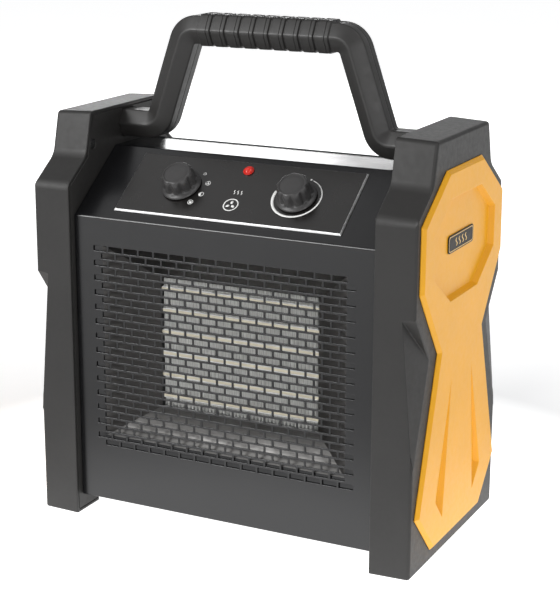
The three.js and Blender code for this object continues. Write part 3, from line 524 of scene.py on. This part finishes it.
# ------------------------------------------------------------------ end caps
def cap_edge_weight(edge):
    """The share of CAP_ROUND that a cap's edge takes: most at the shoulder, least in the notches."""
    if len(edge.link_faces) != 2 or edge.calc_face_angle(0) < math.radians(3):
        return 0
    a, b = (v.co / MM for v in edge.verts)
    middle = (a + b) / 2
    out, height = abs(middle.y), middle.z
    near, far = sorted((abs(a.x), abs(b.x)))
    outside = out > CAP_HOLLOW_Y or height > CAP_HOLLOW_Z
    if far - near > CAP_CROSSING:
        if not outside:
            return 0
        if height > CAP_TOP_Z:
            return ROUND_TOP
        if height > CAP_SHOULDER_Z:
            return ROUND_SHOULDER
        return ROUND_FOOT if out > CAP_FOOT_Y else 0
    if near > CAP_OUTER_X:
        in_notch = out < NOTCH_Y[1] and NOTCH_Z[0] < height < NOTCH_Z[1]
        return ROUND_NOTCH if in_notch else ROUND_OUTER
    if far < CAP_INNER_X:
        return ROUND_INNER if outside else 0
    into_notch = near > CAP_LEDGE_X and far > CAP_OUTER_X and out > NOTCH_Y[0] and height < NOTCH_TOP_Z
    return ROUND_NOTCH if into_notch else 0


def build_caps():
    for side in ("right", "left"):
        softened(f"{side}_cap_shell", CAP_ROUND, segments=5, weigh=cap_edge_weight)
        softened(f"{side}_cap_cover", 0.4)
        build_insert(side)
        softened(f"{side}_side_plate", 0)
        for end in ("front", "rear"):
            softened(f"{side}_cap_screw_{end}", 0.15, BLACK_STEEL)
        build_badge(side)


def build_insert(side):
    """A moulded panel: a plug in the cap's window, a chamfered crown, a drafted pocket and two grooves."""
    sign = 1 if side == "right" else -1
    bm = bmesh.new()

    def loop(outline, depths):
        return [bm.verts.new((sign * d * MM, y * MM, z * MM)) for (y, z), d in zip(outline, depths)]

    def level(outline, depth):
        return loop(outline, [depth] * len(outline))

    def sweep(outline, profile):
        """Walls along a whole outline; the profile gives how far in each row is, and its X."""
        rows = [level(rounded(inset(outline, distance), CORNER), x) for distance, x in profile]
        strip_faces(bm, rows, closed=True)
        return rows

    def groove_rows(groove):
        """Rows from the crown down a tapering groove, deep at its foot and running out at its tip."""
        foot = [z < GROOVE_FOOT_Z for y, z in groove]
        bed = [deep if low else rim for rim, deep, low in zip(groove, inset(groove, RECESS_DRAFT), foot)]
        # a narrow flat margin and a rounded lip, then the walls
        rows = [level(inset(groove, -0.7), INSERT_CROWN), level(inset(groove, -0.25), INSERT_CROWN)]
        rows.append(loop(inset(groove, -0.05), [INSERT_CROWN - (0.16 if low else 0.01) for low in foot]))
        for share in (0.08, 0.92):
            points = [tuple(Vector(rim).lerp(Vector(deep), share)) for rim, deep in zip(groove, bed)]
            down = share * (INSERT_CROWN - RECESS_FLOOR)
            rows.append(loop(points, [INSERT_CROWN - (down if low else 0.02 + share * 0.1) for low in foot]))
        middle = Vector(bed[0]).lerp(Vector(bed[1]), 0.5)
        floor = [tuple(Vector(point).lerp(middle, 0.06)) for point in bed]
        rows.append(loop(floor, [RECESS_FLOOR if low else INSERT_CROWN - GROOVE_TIP_DEPTH for low in foot]))
        return rows

    def rim_edges(row):
        return [bm.edges.get((a, b)) for a, b in zip(row, [*row[1:], row[0]])]

    skirt = [(INSERT_PLUG, INSERT_BACK), (INSERT_PLUG, INSERT_BASE), (0, INSERT_BASE),
             (0, INSERT_BASE + INSERT_LIP), (INSERT_CHAMFER, INSERT_CROWN),
             (INSERT_CHAMFER + CROWN_STRIP, INSERT_CROWN)]
    outside = sweep(mirrored(INSERT_HALF), filleted(skirt, [0.2, 0.2, 0.25, 0.8], 4))
    bm.faces.new(outside[0])
    dip = [(-CROWN_STRIP, INSERT_CROWN), (0, INSERT_CROWN), (RECESS_DRAFT, RECESS_FLOOR),
           (RECESS_DRAFT + 2, RECESS_FLOOR)]
    pocket = sweep(mirrored(POCKET_HALF), filleted(dip, [0.6, 0.9], 4))
    bm.faces.new(pocket[-1])
    crown_edges = rim_edges(outside[-1]) + rim_edges(pocket[0])
    for groove in (GROOVE, [(-y, z) for y, z in reversed(GROOVE)]):
        rows = groove_rows(groove)
        strip_faces(bm, rows, closed=True)
        bm.faces.new(rows[-1])
        crown_edges += rim_edges(rows[0])
    bmesh.ops.triangle_fill(bm, use_beauty=True, use_dissolve=False, edges=crown_edges)
    node = f"{side}_side_insert"
    piece = piece_from(bm, f"{node}_shape", YELLOW_PLASTIC, replaces=[node])
    piece.modifiers.new("normals", "WEIGHTED_NORMAL").keep_sharp = True


def heat_wave(across, swing, height, steps):
    """One upright sine turn around a line, as points from the bottom up."""
    shares = [i / steps for i in range(steps + 1)]
    return [(across + swing * math.sin(t * 2 * math.pi), (t - 0.5) * height) for t in shares]


def build_badge(side):
    """A dark plate with a thin light line inside its edge and a row of plain heat waves."""
    node = f"{side}_badge_plate"
    softened(node, 0.15)
    low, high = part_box(node)
    sign = 1 if side == "right" else -1
    face = max(abs(low.x), abs(high.x)) * sign + sign * BADGE_RISE * MM
    middle = (low + high) / 2
    half_y, half_z = (high.y - low.y) / 2 / MM, (high.z - low.z) / 2 / MM
    bm = bmesh.new()

    def on_plate(points):
        return [bm.verts.new((face, middle.y + y * MM, middle.z + z * MM)) for y, z in points]

    rows = []
    for margin in BADGE_MARGINS:
        radius = BADGE_CORNER - margin * 0.7
        points = []
        for k, (side_y, side_z) in enumerate(((1, 1), (-1, 1), (-1, -1), (1, -1))):
            centre = (side_y * (half_y - margin - radius), side_z * (half_z - margin - radius))
            points += arc(centre, radius, k * math.pi / 2, (k + 1) * math.pi / 2, 6)
        rows.append(on_plate(points))
    strip_faces(bm, rows, closed=True)
    for k in (-1.5, -0.5, 0.5, 1.5):
        wave = heat_wave(k * BADGE_WAVE_PITCH, BADGE_WAVE_SWING, BADGE_WAVE_HEIGHT, 12)
        sides = (-BADGE_WAVE_HALF, BADGE_WAVE_HALF)
        strip_faces(bm, [on_plate([(y + shift, z) for y, z in wave]) for shift in sides])
    line = piece_from(bm, f"{side}_badge_line", BADGE_RIM)
    thicken(line, 0.05)


def thicken(piece, thickness, offset=0.0):
    modifier = piece.modifiers.new("thickness", "SOLIDIFY")
    modifier.thickness = thickness * MM
    modifier.offset = offset
    modifier.use_even_offset = True


# ------------------------------------------------------------------ sheet body
def panel(name, node, sign, rows, columns, grille_top, top_end):
    """A folded sheet with a brick-pattern grille: front, slope and top, or the same at the back."""
    low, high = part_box(node)
    half = high.x / MM
    wall = max(abs(low.y), abs(high.y)) / MM
    bottom, top = low.z / MM, high.z / MM
    outline = [(-wall, bottom), (-wall, FOLD_Z), (-TOP_Y, top), (top_end, top)]
    profile = filleted(outline, [FOLD_RADIUS, FOLD_RADIUS])
    bm = bmesh.new()

    def vertices(y, z, xs):
        return [bm.verts.new((x * MM, sign * y * MM, z * MM)) for x in xs]

    def across(lower, upper):
        """One flat face between two rows that may have different numbers of points."""
        bm.faces.new([*lower, *reversed(upper)])

    below = vertices(*profile[0], (-half, half))
    for row in reversed(range(rows)):
        middle = grille_top - row * SLOT_PITCH[1]
        shift = SLOT_PITCH[0] / 4 * (1 if row % 2 else -1)
        edges = [-half]
        for column in range(columns):
            x = (column - (columns - 1) / 2) * SLOT_PITCH[0] + shift
            edges += [x - SLOT[0] / 2, x + SLOT[0] / 2]
        edges.append(half)
        lower = vertices(-wall, middle - SLOT[1] / 2, edges)
        upper = vertices(-wall, middle + SLOT[1] / 2, edges)
        across(below, lower)
        for i in range(0, len(edges), 2):
            bm.faces.new((lower[i], lower[i + 1], upper[i + 1], upper[i]))
        below = upper
    for y, z in profile[1:]:
        above = vertices(y, z, (-half, half))
        across(below, above)
        below = above
    piece = piece_from(bm, name, BLACK_PAINT, replaces=[node])
    thicken(piece, SHEET, -1.0)
    bevel(piece, 0.55, 3, 50)


def build_body():
    panel("front_panel_shape", "front_panel", 1, FRONT_ROWS, FRONT_COLUMNS, GRILLE_TOP, TOP_Y + 0.2)
    panel("rear_panel_shape", "rear_panel", -1, REAR_ROWS, REAR_COLUMNS, REAR_GRILLE_TOP, -TOP_Y - 0.3)
    softened("base_panel", 0.5)
    plate = softened("control_plate", 0.6, PLATE_PAINT, segments=3, angle=20)
    plate.data.materials.append(BARE_EDGE)
    for face in plate.data.polygons:
        face.material_index = 0 if face.area > CUT_EDGE_AREA else 1


# ------------------------------------------------------------------ controls
def slope_matrix(x, up, out):
    """From slope coordinates, in millimetres, to the scene: X, up the slope, and out of it."""
    joint = next(j for j in frame["joints"] if j["name"] == "selector_turn")
    normal = Vector(joint["axis"])
    along = Vector((0, normal.z, -normal.y))
    origin = Vector(joint["pos_m"])
    origin.x = 0
    place = origin + Vector((x, 0, 0)) * MM + along * up * MM + normal * out * MM
    turn = Matrix((Vector((1, 0, 0)), along, normal)).transposed()
    return Matrix.Translation(place) @ turn.to_4x4() @ Matrix.Scale(MM, 4)


def build_knob(body, node, pointer):
    """A skirted knob with scalloped sides, a ring groove in its top and a slit for a pointer."""
    x = next(j for j in frame["joints"] if j["child"] == body)["pos_m"][0] / MM
    steps = KNOB_FLUTES * FLUTE_STEPS
    profile = [  # radius, height, how deep the flutes are
        (0, KNOB_LOW, 0), (KNOB_SKIRT - 1, KNOB_LOW, 0), (KNOB_SKIRT - 0.3, KNOB_LOW + 0.25, 0),
        (KNOB_SKIRT, KNOB_LOW + 0.7, 0), (KNOB_SKIRT - 0.25, KNOB_LOW + 1.4, 0),
        (KNOB_SKIRT - 0.9, KNOB_LOW + 1.8, 0), (15.0, 5.0, 0), (14.5, 5.2, 0.3), (14.2, 5.7, 0.8),
        (14.0, 6.6, 1), (KNOB_RADIUS, 9, 1), (13.8, 12.4, 0.95), (13.65, KNOB_TOP - 3.4, 0.9),
        (13.4, KNOB_TOP - 2.4, 0.8), (13.0, KNOB_TOP - 1.5, 0.62), (12.4, KNOB_TOP - 0.75, 0.4),
        (11.8, KNOB_TOP - 0.25, 0.2), (11.2, KNOB_TOP - 0.03, 0.08),
        (10.9, KNOB_TOP, 0), (10.55, KNOB_TOP - 0.15, 0), (10.35, KNOB_TOP - 0.6, 0),
        (9.9, KNOB_TOP - 0.75, 0), (9.5, KNOB_TOP - 0.62, 0), (6, KNOB_TOP - 0.5, 0),
        (0, KNOB_TOP - 0.45, 0)]
    bm = bmesh.new()
    matrix = slope_matrix(x, 0, 0)
    rows = []
    for radius, z, depth in profile:
        if radius == 0:
            rows.append([bm.verts.new(matrix @ Vector((0, 0, z)))])
            continue
        row = []
        for i in range(steps):
            angle = 2 * math.pi * i / steps
            wave = (1 - math.cos((angle - pointer) * KNOB_FLUTES)) / 2
            r = radius - FLUTE_DEPTH * depth * wave ** 2.2
            off = (angle - pointer + math.pi) % (2 * math.pi) - math.pi
            if depth and z > SLIT_BOTTOM and abs(off) < SLIT_HALF:
                r -= SLIT_DEPTH
            row.append(bm.verts.new(matrix @ Vector((r * math.cos(angle), r * math.sin(angle), z))))
        rows.append(row)
    lathe_faces(bm, rows, steps)
    piece_from(bm, f"{node}_shape", KNOB_PLASTIC, body, [node], 40)


def flat_print(name, loops, x, up):
    """White ink on the control plate: flat shapes around (x, up), each an outline or two edges of a strip."""
    matrix = slope_matrix(x, up, PLATE_FACE + PRINT_RISE)
    bm = bmesh.new()
    for rows in loops:
        made = [[bm.verts.new(matrix @ Vector((*p, 0))) for p in row] for row in rows]
        if len(made) == 1:
            bm.faces.new(made[0])
        else:
            strip_faces(bm, made, closed=len(rows[0]) > 2 and rows[0][0] == rows[0][-1])
    bmesh.ops.remove_doubles(bm, verts=bm.verts, dist=1e-7)
    piece = piece_from(bm, name, WHITE_INK)
    thicken(piece, PRINT_THICK, 1.0)


def ring(centre, radius, width, steps=28):
    return [arc(centre, edge, 0, 2 * math.pi, steps) for edge in (radius - width / 2, radius + width / 2)]


def disc(centre, radius, start=0.0, end=2 * math.pi, steps=20):
    whole = end - start >= 2 * math.pi
    return [arc(centre, radius, start, end, steps)[: -1 if whole else None]]


def petals(centre, inner, outer, width):
    """The three rounded petals of a fan symbol, each one outline."""
    middle = (inner + outer) / 2
    made = []
    for angle in (math.radians(90 + 120 * i) for i in range(3)):
        points = []
        for turn in (2 * math.pi * i / 12 for i in range(12)):
            along = middle + (outer - inner) / 2 * math.cos(turn)
            side = width / 2 * math.sin(turn)
            points.append((centre[0] + along * math.cos(angle) - side * math.sin(angle),
                           centre[1] + along * math.sin(angle) + side * math.cos(angle)))
        made.append([points])
    return made


def bar(start, end, width):
    a, b = Vector(start), Vector(end)
    side = (b - a).normalized().orthogonal() * width / 2
    return [[tuple(a - side), tuple(b - side), tuple(b + side), tuple(a + side)]]


def polar(radius, angle):
    return radius * math.cos(angle), radius * math.sin(angle)


def print_selector_marks():
    """Off, fan, half heat and full heat, beside the selector."""
    off, fan, half, full = (polar(radius, math.radians(degrees)) for radius, degrees in SELECTOR_MARKS)
    icons = [ring(off, 1.15, 0.55, 16), ring(fan, 2.1, 0.45), ring(half, 2.1, 0.5), ring(full, 2.15, 0.5)]
    icons += petals(fan, 0.1, 1.7, 1.0)
    icons.append(disc(half, 1.9, math.radians(90), math.radians(270), 12))
    icons.append(disc(full, 1.25))
    flat_print("selector_marks", icons, -KNOB_X, 0)


def print_thermostat_scale():
    """An arc around the thermostat that widens with the heat, and a frost star before its thin end."""
    inner, outer = [], []
    for share in (i / SCALE_STEPS for i in range(SCALE_STEPS + 1)):
        angle = SCALE_START + (SCALE_END - SCALE_START) * share
        width = SCALE_THIN + SCALE_GROWTH * share
        inner.append(polar(SCALE_RADIUS - width / 2, angle))
        outer.append(polar(SCALE_RADIUS + width / 2, angle))
    x, up = polar(STAR_SPOT[0], math.radians(STAR_SPOT[1]))
    star = []
    for turn in range(3):
        along, rise = polar(STAR_REACH, STAR_TILT + turn * math.pi / 3)
        star.append(bar((x - along, up - rise), (x + along, up + rise), STAR_LINE))
    flat_print("thermostat_scale", [[inner, outer], *star], KNOB_X, 0)


def build_prints():
    print_selector_marks()
    print_thermostat_scale()
    airflow = [ring((0, 0), 6.1, 1.0, 40), *petals((0, 0), 0.9, 4.4, 2.4)]
    flat_print("airflow_symbol", airflow, *AIRFLOW_SPOT)
    waves = []
    for k in (-1, 0, 1):
        left = heat_wave(k * HEAT_PITCH - 0.35, HEAT_SWING, HEAT_HEIGHT, 10)
        waves.append([left, [(x + HEAT_WIDTH, y) for x, y in left]])
    flat_print("heat_symbol", waves, *HEAT_SPOT)


def build_lamp():
    """A clear red dome in a low collar."""
    seat = LAMP_SEAT
    dome = LAMP_RADIUS - LAMP_COLLAR
    profile = [(0, seat), (LAMP_RADIUS, seat), (LAMP_RADIUS, seat + 0.75), (LAMP_RADIUS - 0.15, seat + 0.95),
               (dome + 0.15, seat + 1), (dome, seat + DOME_BASE)]
    for t in (k * math.pi / 20 for k in range(1, 10)):
        profile.append((math.cos(t) * dome, seat + DOME_BASE + math.sin(t) * (LAMP_HEIGHT - DOME_BASE)))
    profile.append((0, seat + LAMP_HEIGHT))
    matrix = slope_matrix(0, LAMP_UP, 0)
    bm = bmesh.new()
    rows = []
    for r, z in profile:
        angles = [2 * math.pi * i / LAMP_STEPS for i in range(LAMP_STEPS if r else 1)]
        rows.append([bm.verts.new(matrix @ Vector((r * math.cos(t), r * math.sin(t), z))) for t in angles])
    lathe_faces(bm, rows, LAMP_STEPS)
    node = "pilot_lamp_lens"
    piece_from(bm, f"{node}_shape", RED_LENS, replaces=[node], sharp=40)


def build_controls():
    build_knob("selector", "selector_knob", math.radians(45))
    build_knob("thermostat", "thermostat_knob", math.radians(-135))
    for name in ("selector", "thermostat"):
        softened(f"{name}_shaft", 0.2)
        softened(f"{name}_case", 0.4)
    build_lamp()
    softened("pilot_lamp_body", 0.3)
    softened("thermostat_capillary", 0)
    build_prints()


# ------------------------------------------------------------------ handle
def handle_line():
    """Stations along the handle from its left stub to its right one: X, Z and heading."""
    turn = math.pi / 2 - LEG_LEAN
    reach = BEND * math.tan(turn / 2)
    low = LEG_X + (GRIP_Z - STUB_Z) * math.tan(LEG_LEAN)
    shares = [i / BEND_STEPS for i in range(BEND_STEPS + 1)]
    half = []
    for heading in [-turn * share for share in shares]:
        x = LEG_X - reach - BEND * math.sin(heading)
        half.append((x, GRIP_Z - BEND + BEND * math.cos(heading), heading))
    for heading in [-turn * (1 - share) for share in shares]:
        x = low + reach + BEND * math.sin(heading)
        half.append((x, STUB_Z + BEND - BEND * math.cos(heading), heading))
    half.append((STUB_END, STUB_Z, 0))
    # stations just outside each corner of a rib, of its finger pockets and of its cleft
    start, end = POCKET_ALONG
    marks = [-0.55, -0.25, 0, 0.3]
    marks += [start - POCKET_EDGE, start + POCKET_EDGE, end - POCKET_EDGE, end + POCKET_EDGE]
    marks += [corner + past for corner, past in zip(RIB_CLEFT, (-0.02, -0.01, 0.01, 0.02))]
    marks += [RIB_WIDTH - 0.3, RIB_WIDTH, RIB_WIDTH + 0.25, RIB_WIDTH + 0.55]
    grip = []
    for rib in range(RIBS):
        rib_start = (rib - (RIBS - 1) / 2) * RIB_PITCH - RIB_WIDTH / 2
        grip += [(rib_start + mark, GRIP_Z, 0) for mark in marks]
    left = [(-x, z, -heading) for x, z, heading in reversed(half)]
    return [*left, *grip, *half]


def along_rib(x):
    """How far a place on the grip is from the start of its rib."""
    return (x + RIBS * RIB_PITCH / 2) % RIB_PITCH - (RIB_PITCH - RIB_WIDTH) / 2


def rib_rise(x, z):
    """How far the grip's surface stands out at one place along it."""
    if abs(z - GRIP_Z) > 0.01 or abs(x) > RIBS * RIB_PITCH / 2:
        return 0.0
    place = along_rib(x)
    if place > RIB_PITCH - 1.5:
        place -= RIB_PITCH
    bed = RIB_RISE - RIB_CLEFT_DEPTH
    back = RIB_RISE - RIB_BACK_DROP
    steps = [(-0.5, 0), (-0.2, RIB_RISE * 0.6), (0.3, RIB_RISE)]
    steps += zip(RIB_CLEFT, (RIB_RISE, bed, bed, back))
    steps += [(RIB_WIDTH - 0.25, back), (RIB_WIDTH + 0.2, RIB_RISE * 0.6), (RIB_WIDTH + 0.5, 0)]
    if steps[0][0] < place < steps[-1][0]:
        for (s0, r0), (s1, r1) in zip(steps, steps[1:]):
            if place <= s1:
                return r0 + (r1 - r0) * (place - s0) / (s1 - s0)
    return 0.0


def in_pocket(x, z):
    return abs(z - GRIP_Z) <= 0.01 and POCKET_ALONG[0] < along_rib(x) < POCKET_ALONG[1]


def handle_half(name, side):
    """One half of the handle: a swept hollow half hexagon with rounded edges and ribs for the fingers."""
    half = HANDLE_HALF
    ridge_line = [(half, PARTING), (half, HANDLE_FLAT), (0, HANDLE_RIDGE),
                  (-half, HANDLE_FLAT), (-half, PARTING)]
    outline = filleted(ridge_line, HANDLE_CORNERS, 5)
    start, end = POCKET_DEEP
    pocket = [start - POCKET_EDGE, start + POCKET_EDGE, end - POCKET_EDGE, end + POCKET_EDGE]
    edge = [(half - 0.35, PARTING), (half - 0.1, PARTING + 0.1), (half, PARTING + 0.4)]
    outer = [*edge, *[(half, d) for d in pocket], *outline[1:-1],
             *[(-half, d) for d in reversed(pocket)], *[(-a, d) for a, d in reversed(edge)]]
    bore = half - HANDLE_WALL
    inner = [(-bore, PARTING), (-bore, HOLLOW_FLAT), (0, HOLLOW_RIDGE), (bore, HOLLOW_FLAT), (bore, PARTING)]
    bm = bmesh.new()

    def vertex(station, across, deep):
        x, z, heading = station
        out_x, out_z = x - across * math.sin(heading), z + across * math.cos(heading)
        return bm.verts.new((out_x * MM, side * deep * MM, out_z * MM))

    rows = []
    for station in handle_line():
        x, z, _ = station
        rise = rib_rise(x, z)
        row = []
        for across, deep in outer:
            lift = rise
            if abs(across) >= half - 0.5:
                lean = Vector((math.copysign(1, across), 0))
                if in_pocket(x, z) and start < deep < end:
                    lift = rise - POCKET_DROP
            else:
                lean = Vector((across / half, 0.9 - 0.25 * abs(across) / half)).normalized()
            spot = Vector((across, deep)) + lean * lift
            row.append(vertex(station, spot.x, spot.y))
        row += [vertex(station, across, deep) for across, deep in inner]
        rows.append(row)
    strip_faces(bm, rows, closed=True)
    bm.faces.new(rows[0])
    bm.faces.new(reversed(rows[-1]))
    piece_from(bm, f"{name}_shape", HANDLE_PLASTIC, replaces=[name], sharp=38)


# ------------------------------------------------------------------ heating block
def fin_pack(row):
    """A tightly folded aluminium strip between two electrodes."""
    node = f"fin_pack_{row}"
    low, high = (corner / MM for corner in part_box(node))
    count = round((high.x - low.x) / FIN_PITCH) * 2
    step = (high.x - low.x) / count
    line = []
    for i in range(count):
        x = low.x + i * step
        z0, z1 = (low.z, high.z) if i % 2 == 0 else (high.z, low.z)
        turn = math.copysign(FIN_FOLD, z1 - z0)
        end = x + step * 0.5
        line += [(x + 0.12, z0), (x + 0.3, z0 + turn), (end - 0.1, z1 - turn), (end, z1)]
    bm = bmesh.new()
    rows = [[bm.verts.new((x * MM, y * MM, z * MM)) for x, z in line] for y in (low.y, high.y)]
    strip_faces(bm, rows)
    piece = piece_from(bm, f"{node}_shape", FIN_ALUMINIUM_PAINTED_SHADE, replaces=[node], sharp=50)
    thicken(piece, FIN_SHEET)


def electrode(name, low, high, middle):
    """A contact strip with rounded edges along one face of a ceramic bar, given the bar's box."""
    half = ELECTRODE / 2 * MM
    start = (low.x + ELECTRODE_INSET * MM, low.y - ELECTRODE_PROUD * MM, middle - half)
    end = (high.x - ELECTRODE_INSET * MM, high.y - ELECTRODE_PROUD * MM, middle + half)
    bm = bmesh.new()
    bmesh.ops.create_cube(bm, size=1)
    for v in bm.verts:
        v.co = Vector((a + (c + 0.5) * (b - a) for a, b, c in zip(start, end, v.co)))
    bevel(piece_from(bm, name, ALUMINIUM), 0.12)


def funnel_painted_light_and_shade(normal):
    """Painted light and shade on the funnel: its flanges take the black paint and its other walls a darkened
    sheet, both as painted shade, and its floor a lighter copy of that sheet as painted light.
    """
    if abs(normal.y) > 0.9:
        return 1
    return 2 if normal.z > 0.3 else 0


def build_heater():
    for row in range(1, 8):
        fin_pack(row)
    off = (ELECTRODE / 2 + ELECTRODE_GAP) * MM
    for row in range(1, 7):
        node = f"ceramic_bar_{row}"
        softened(node, 0.3)
        low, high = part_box(node)
        electrode(f"electrode_{row}_lower", low, high, low.z - off)
        electrode(f"electrode_{row}_upper", low, high, high.z + off)
    for side in ("right", "left"):
        softened(f"{side}_heater_block", 0.6)
    softened("heater_top_rail", 0.3)
    softened("heater_bottom_rail", 0.3)
    funnel = softened("outlet_funnel", 0, FUNNEL_SHEET_PAINTED_SHADE)
    funnel.data.materials.append(BLACK_PAINT)
    funnel.data.materials.append(FUNNEL_FLOOR_PAINTED_LIGHT)
    # painted shade on the flanges and walls, painted light on the floor, chosen by the way each face looks
    for face in funnel.data.polygons:
        face.material_index = funnel_painted_light_and_shade(face.normal)


# ------------------------------------------------------------------ fan and electrics
def build_inside():
    for node, width in (("fan_shroud", 0.3), ("fan_rotor", 0.25), ("motor_shaft", 0.2), ("fan_motor", 0.8),
                        ("motor_bracket", 0.3), ("partition_plate", 0.2), ("terminal_block", 0.5),
                        ("cable_gland", 0.4), ("thermal_cutout", 0.3), ("wiring_loom", 0)):
        softened(node, width)


# ------------------------------------------------------------------ stage
def floor_glow(n):
    """How strongly the paper glows, in metres from the heater: most below it, fading outwards."""
    distance = n.add("ShaderNodeVectorMath", operation="LENGTH")
    n.link(n.place, distance.inputs[0])
    distance = distance.outputs["Value"]
    apart = n.add("ShaderNodeSeparateXYZ")
    n.link(n.place, apart.inputs[0])
    under = n.spread(distance, 1.1, 0, start=0.2, end=0.38)
    behind = n.spread(apart.outputs["Y"], 0.02, 0.75, start=-0.25, end=1.0)
    to_the_right = n.spread(apart.outputs["X"], 0, 1, start=0.1, end=0.4)
    beside = n.join("MULTIPLY", to_the_right, n.spread(distance, 0.33, 0, start=0.9, end=1.6))
    around = n.spread(distance, 0, 0.3, start=1.0, end=2.4)
    return n.join("MAXIMUM", around, n.join("ADD", n.join("ADD", under, behind), beside))


def stage_floor():
    bm = bmesh.new()
    bmesh.ops.create_grid(bm, x_segments=2, y_segments=2, size=FLOOR_HALF)
    mesh = bpy.data.meshes.new("floor")
    bm.to_mesh(mesh)
    bm.free()
    n = Nodes("floor_paper")
    base = n.mix(n.spread(n.noise(3), 0, 1), (0.86, 0.86, 0.86), (0.88, 0.88, 0.88))
    n.link(base, n.shader.inputs["Base Color"])
    n.shader.inputs["Roughness"].default_value = 0.9
    n.shader.inputs["Specular IOR Level"].default_value = 0.1
    n.shader.inputs["Emission Color"].default_value = (1, 1, 1, 1)
    n.link(floor_glow(n), n.shader.inputs["Emission Strength"])
    mesh.materials.append(n.material)
    floor = bpy.data.objects.new("floor", mesh)
    bpy.context.scene.collection.objects.link(floor)


def soft_light(name, place, target, size, power):
    data = bpy.data.lights.new(name, "AREA")
    data.shape = "RECTANGLE"
    data.size, data.size_y = size
    data.energy = power
    light = bpy.data.objects.new(name, data)
    light.location = place
    light.rotation_euler = (Vector(target) - Vector(place)).to_track_quat("-Z", "Y").to_euler()
    bpy.context.scene.collection.objects.link(light)


def light_scene():
    world = bpy.data.worlds.new("studio")
    bpy.context.scene.world = world
    world.use_nodes = True
    background = world.node_tree.nodes["Background"]
    background.inputs["Color"].default_value = (0.97, 0.98, 1.0, 1)
    background.inputs["Strength"].default_value = 0.26
    # each light's place, what it faces, its size and its power
    soft_light("back_strip", (-1.1, 2.4, 0.82), (-0.1, 0, 0.35), (3.6, 0.4), 12)
    soft_light("back_left", (-1.6, 2.2, 0.82), (-0.1, 0, 0.35), (1.2, 0.4), 7)
    soft_light("left_high", (-1.3, -1.3, 1.8), (0, 0, 0.3), (0.8, 0.8), 6)
    soft_light("front_left", (-1.15, -1.95, 1.25), (0, -0.09, 0.26), (1.2, 0.6), 38)
    soft_light("front_right", (1.5, -1.8, 0.8), (0.17, 0, 0.2), (0.6, 0.8), 9)
    soft_light("right_high", (1.8, 0.1, 0.95), (0.1, 0, 0.3), (1.0, 0.8), 4)
    soft_light("overhead_left", (-1.0, 0.1, 2.1), (0, 0, 0.3), (1.0, 1.0), 1.5)
    soft_light("overhead_right", (0.8, -0.5, 1.9), (0, 0, 0.3), (0.8, 0.8), 6)
    view = bpy.context.scene.view_settings
    view.view_transform = "Standard"
    view.look = "None"


def place_camera():
    right = Vector((math.cos(CAMERA_AZIMUTH), math.sin(CAMERA_AZIMUTH), 0))
    flat = math.cos(CAMERA_ELEVATION)
    back = Vector((math.sin(CAMERA_AZIMUTH) * flat, -math.cos(CAMERA_AZIMUTH) * flat,
                   math.sin(CAMERA_ELEVATION)))
    up = back.cross(right)
    c, s = math.cos(CAMERA_ROLL), math.sin(CAMERA_ROLL)
    turn = Matrix((right * c + up * s, up * c - right * s, back)).transposed()
    data = bpy.data.cameras.new("camera")
    data.lens = CAMERA_LENS
    data.sensor_width = CAMERA_SENSOR
    camera = bpy.data.objects.new("camera", data)
    camera.matrix_world = Matrix.Translation(CAMERA_AT) @ turn.to_4x4()
    bpy.context.scene.collection.objects.link(camera)
    bpy.context.scene.camera = camera


build_caps()
build_body()
build_controls()
handle_half("handle_front_half", -1)
handle_half("handle_rear_half", 1)
build_heater()
build_inside()
stage_floor()
light_scene()
place_camera()
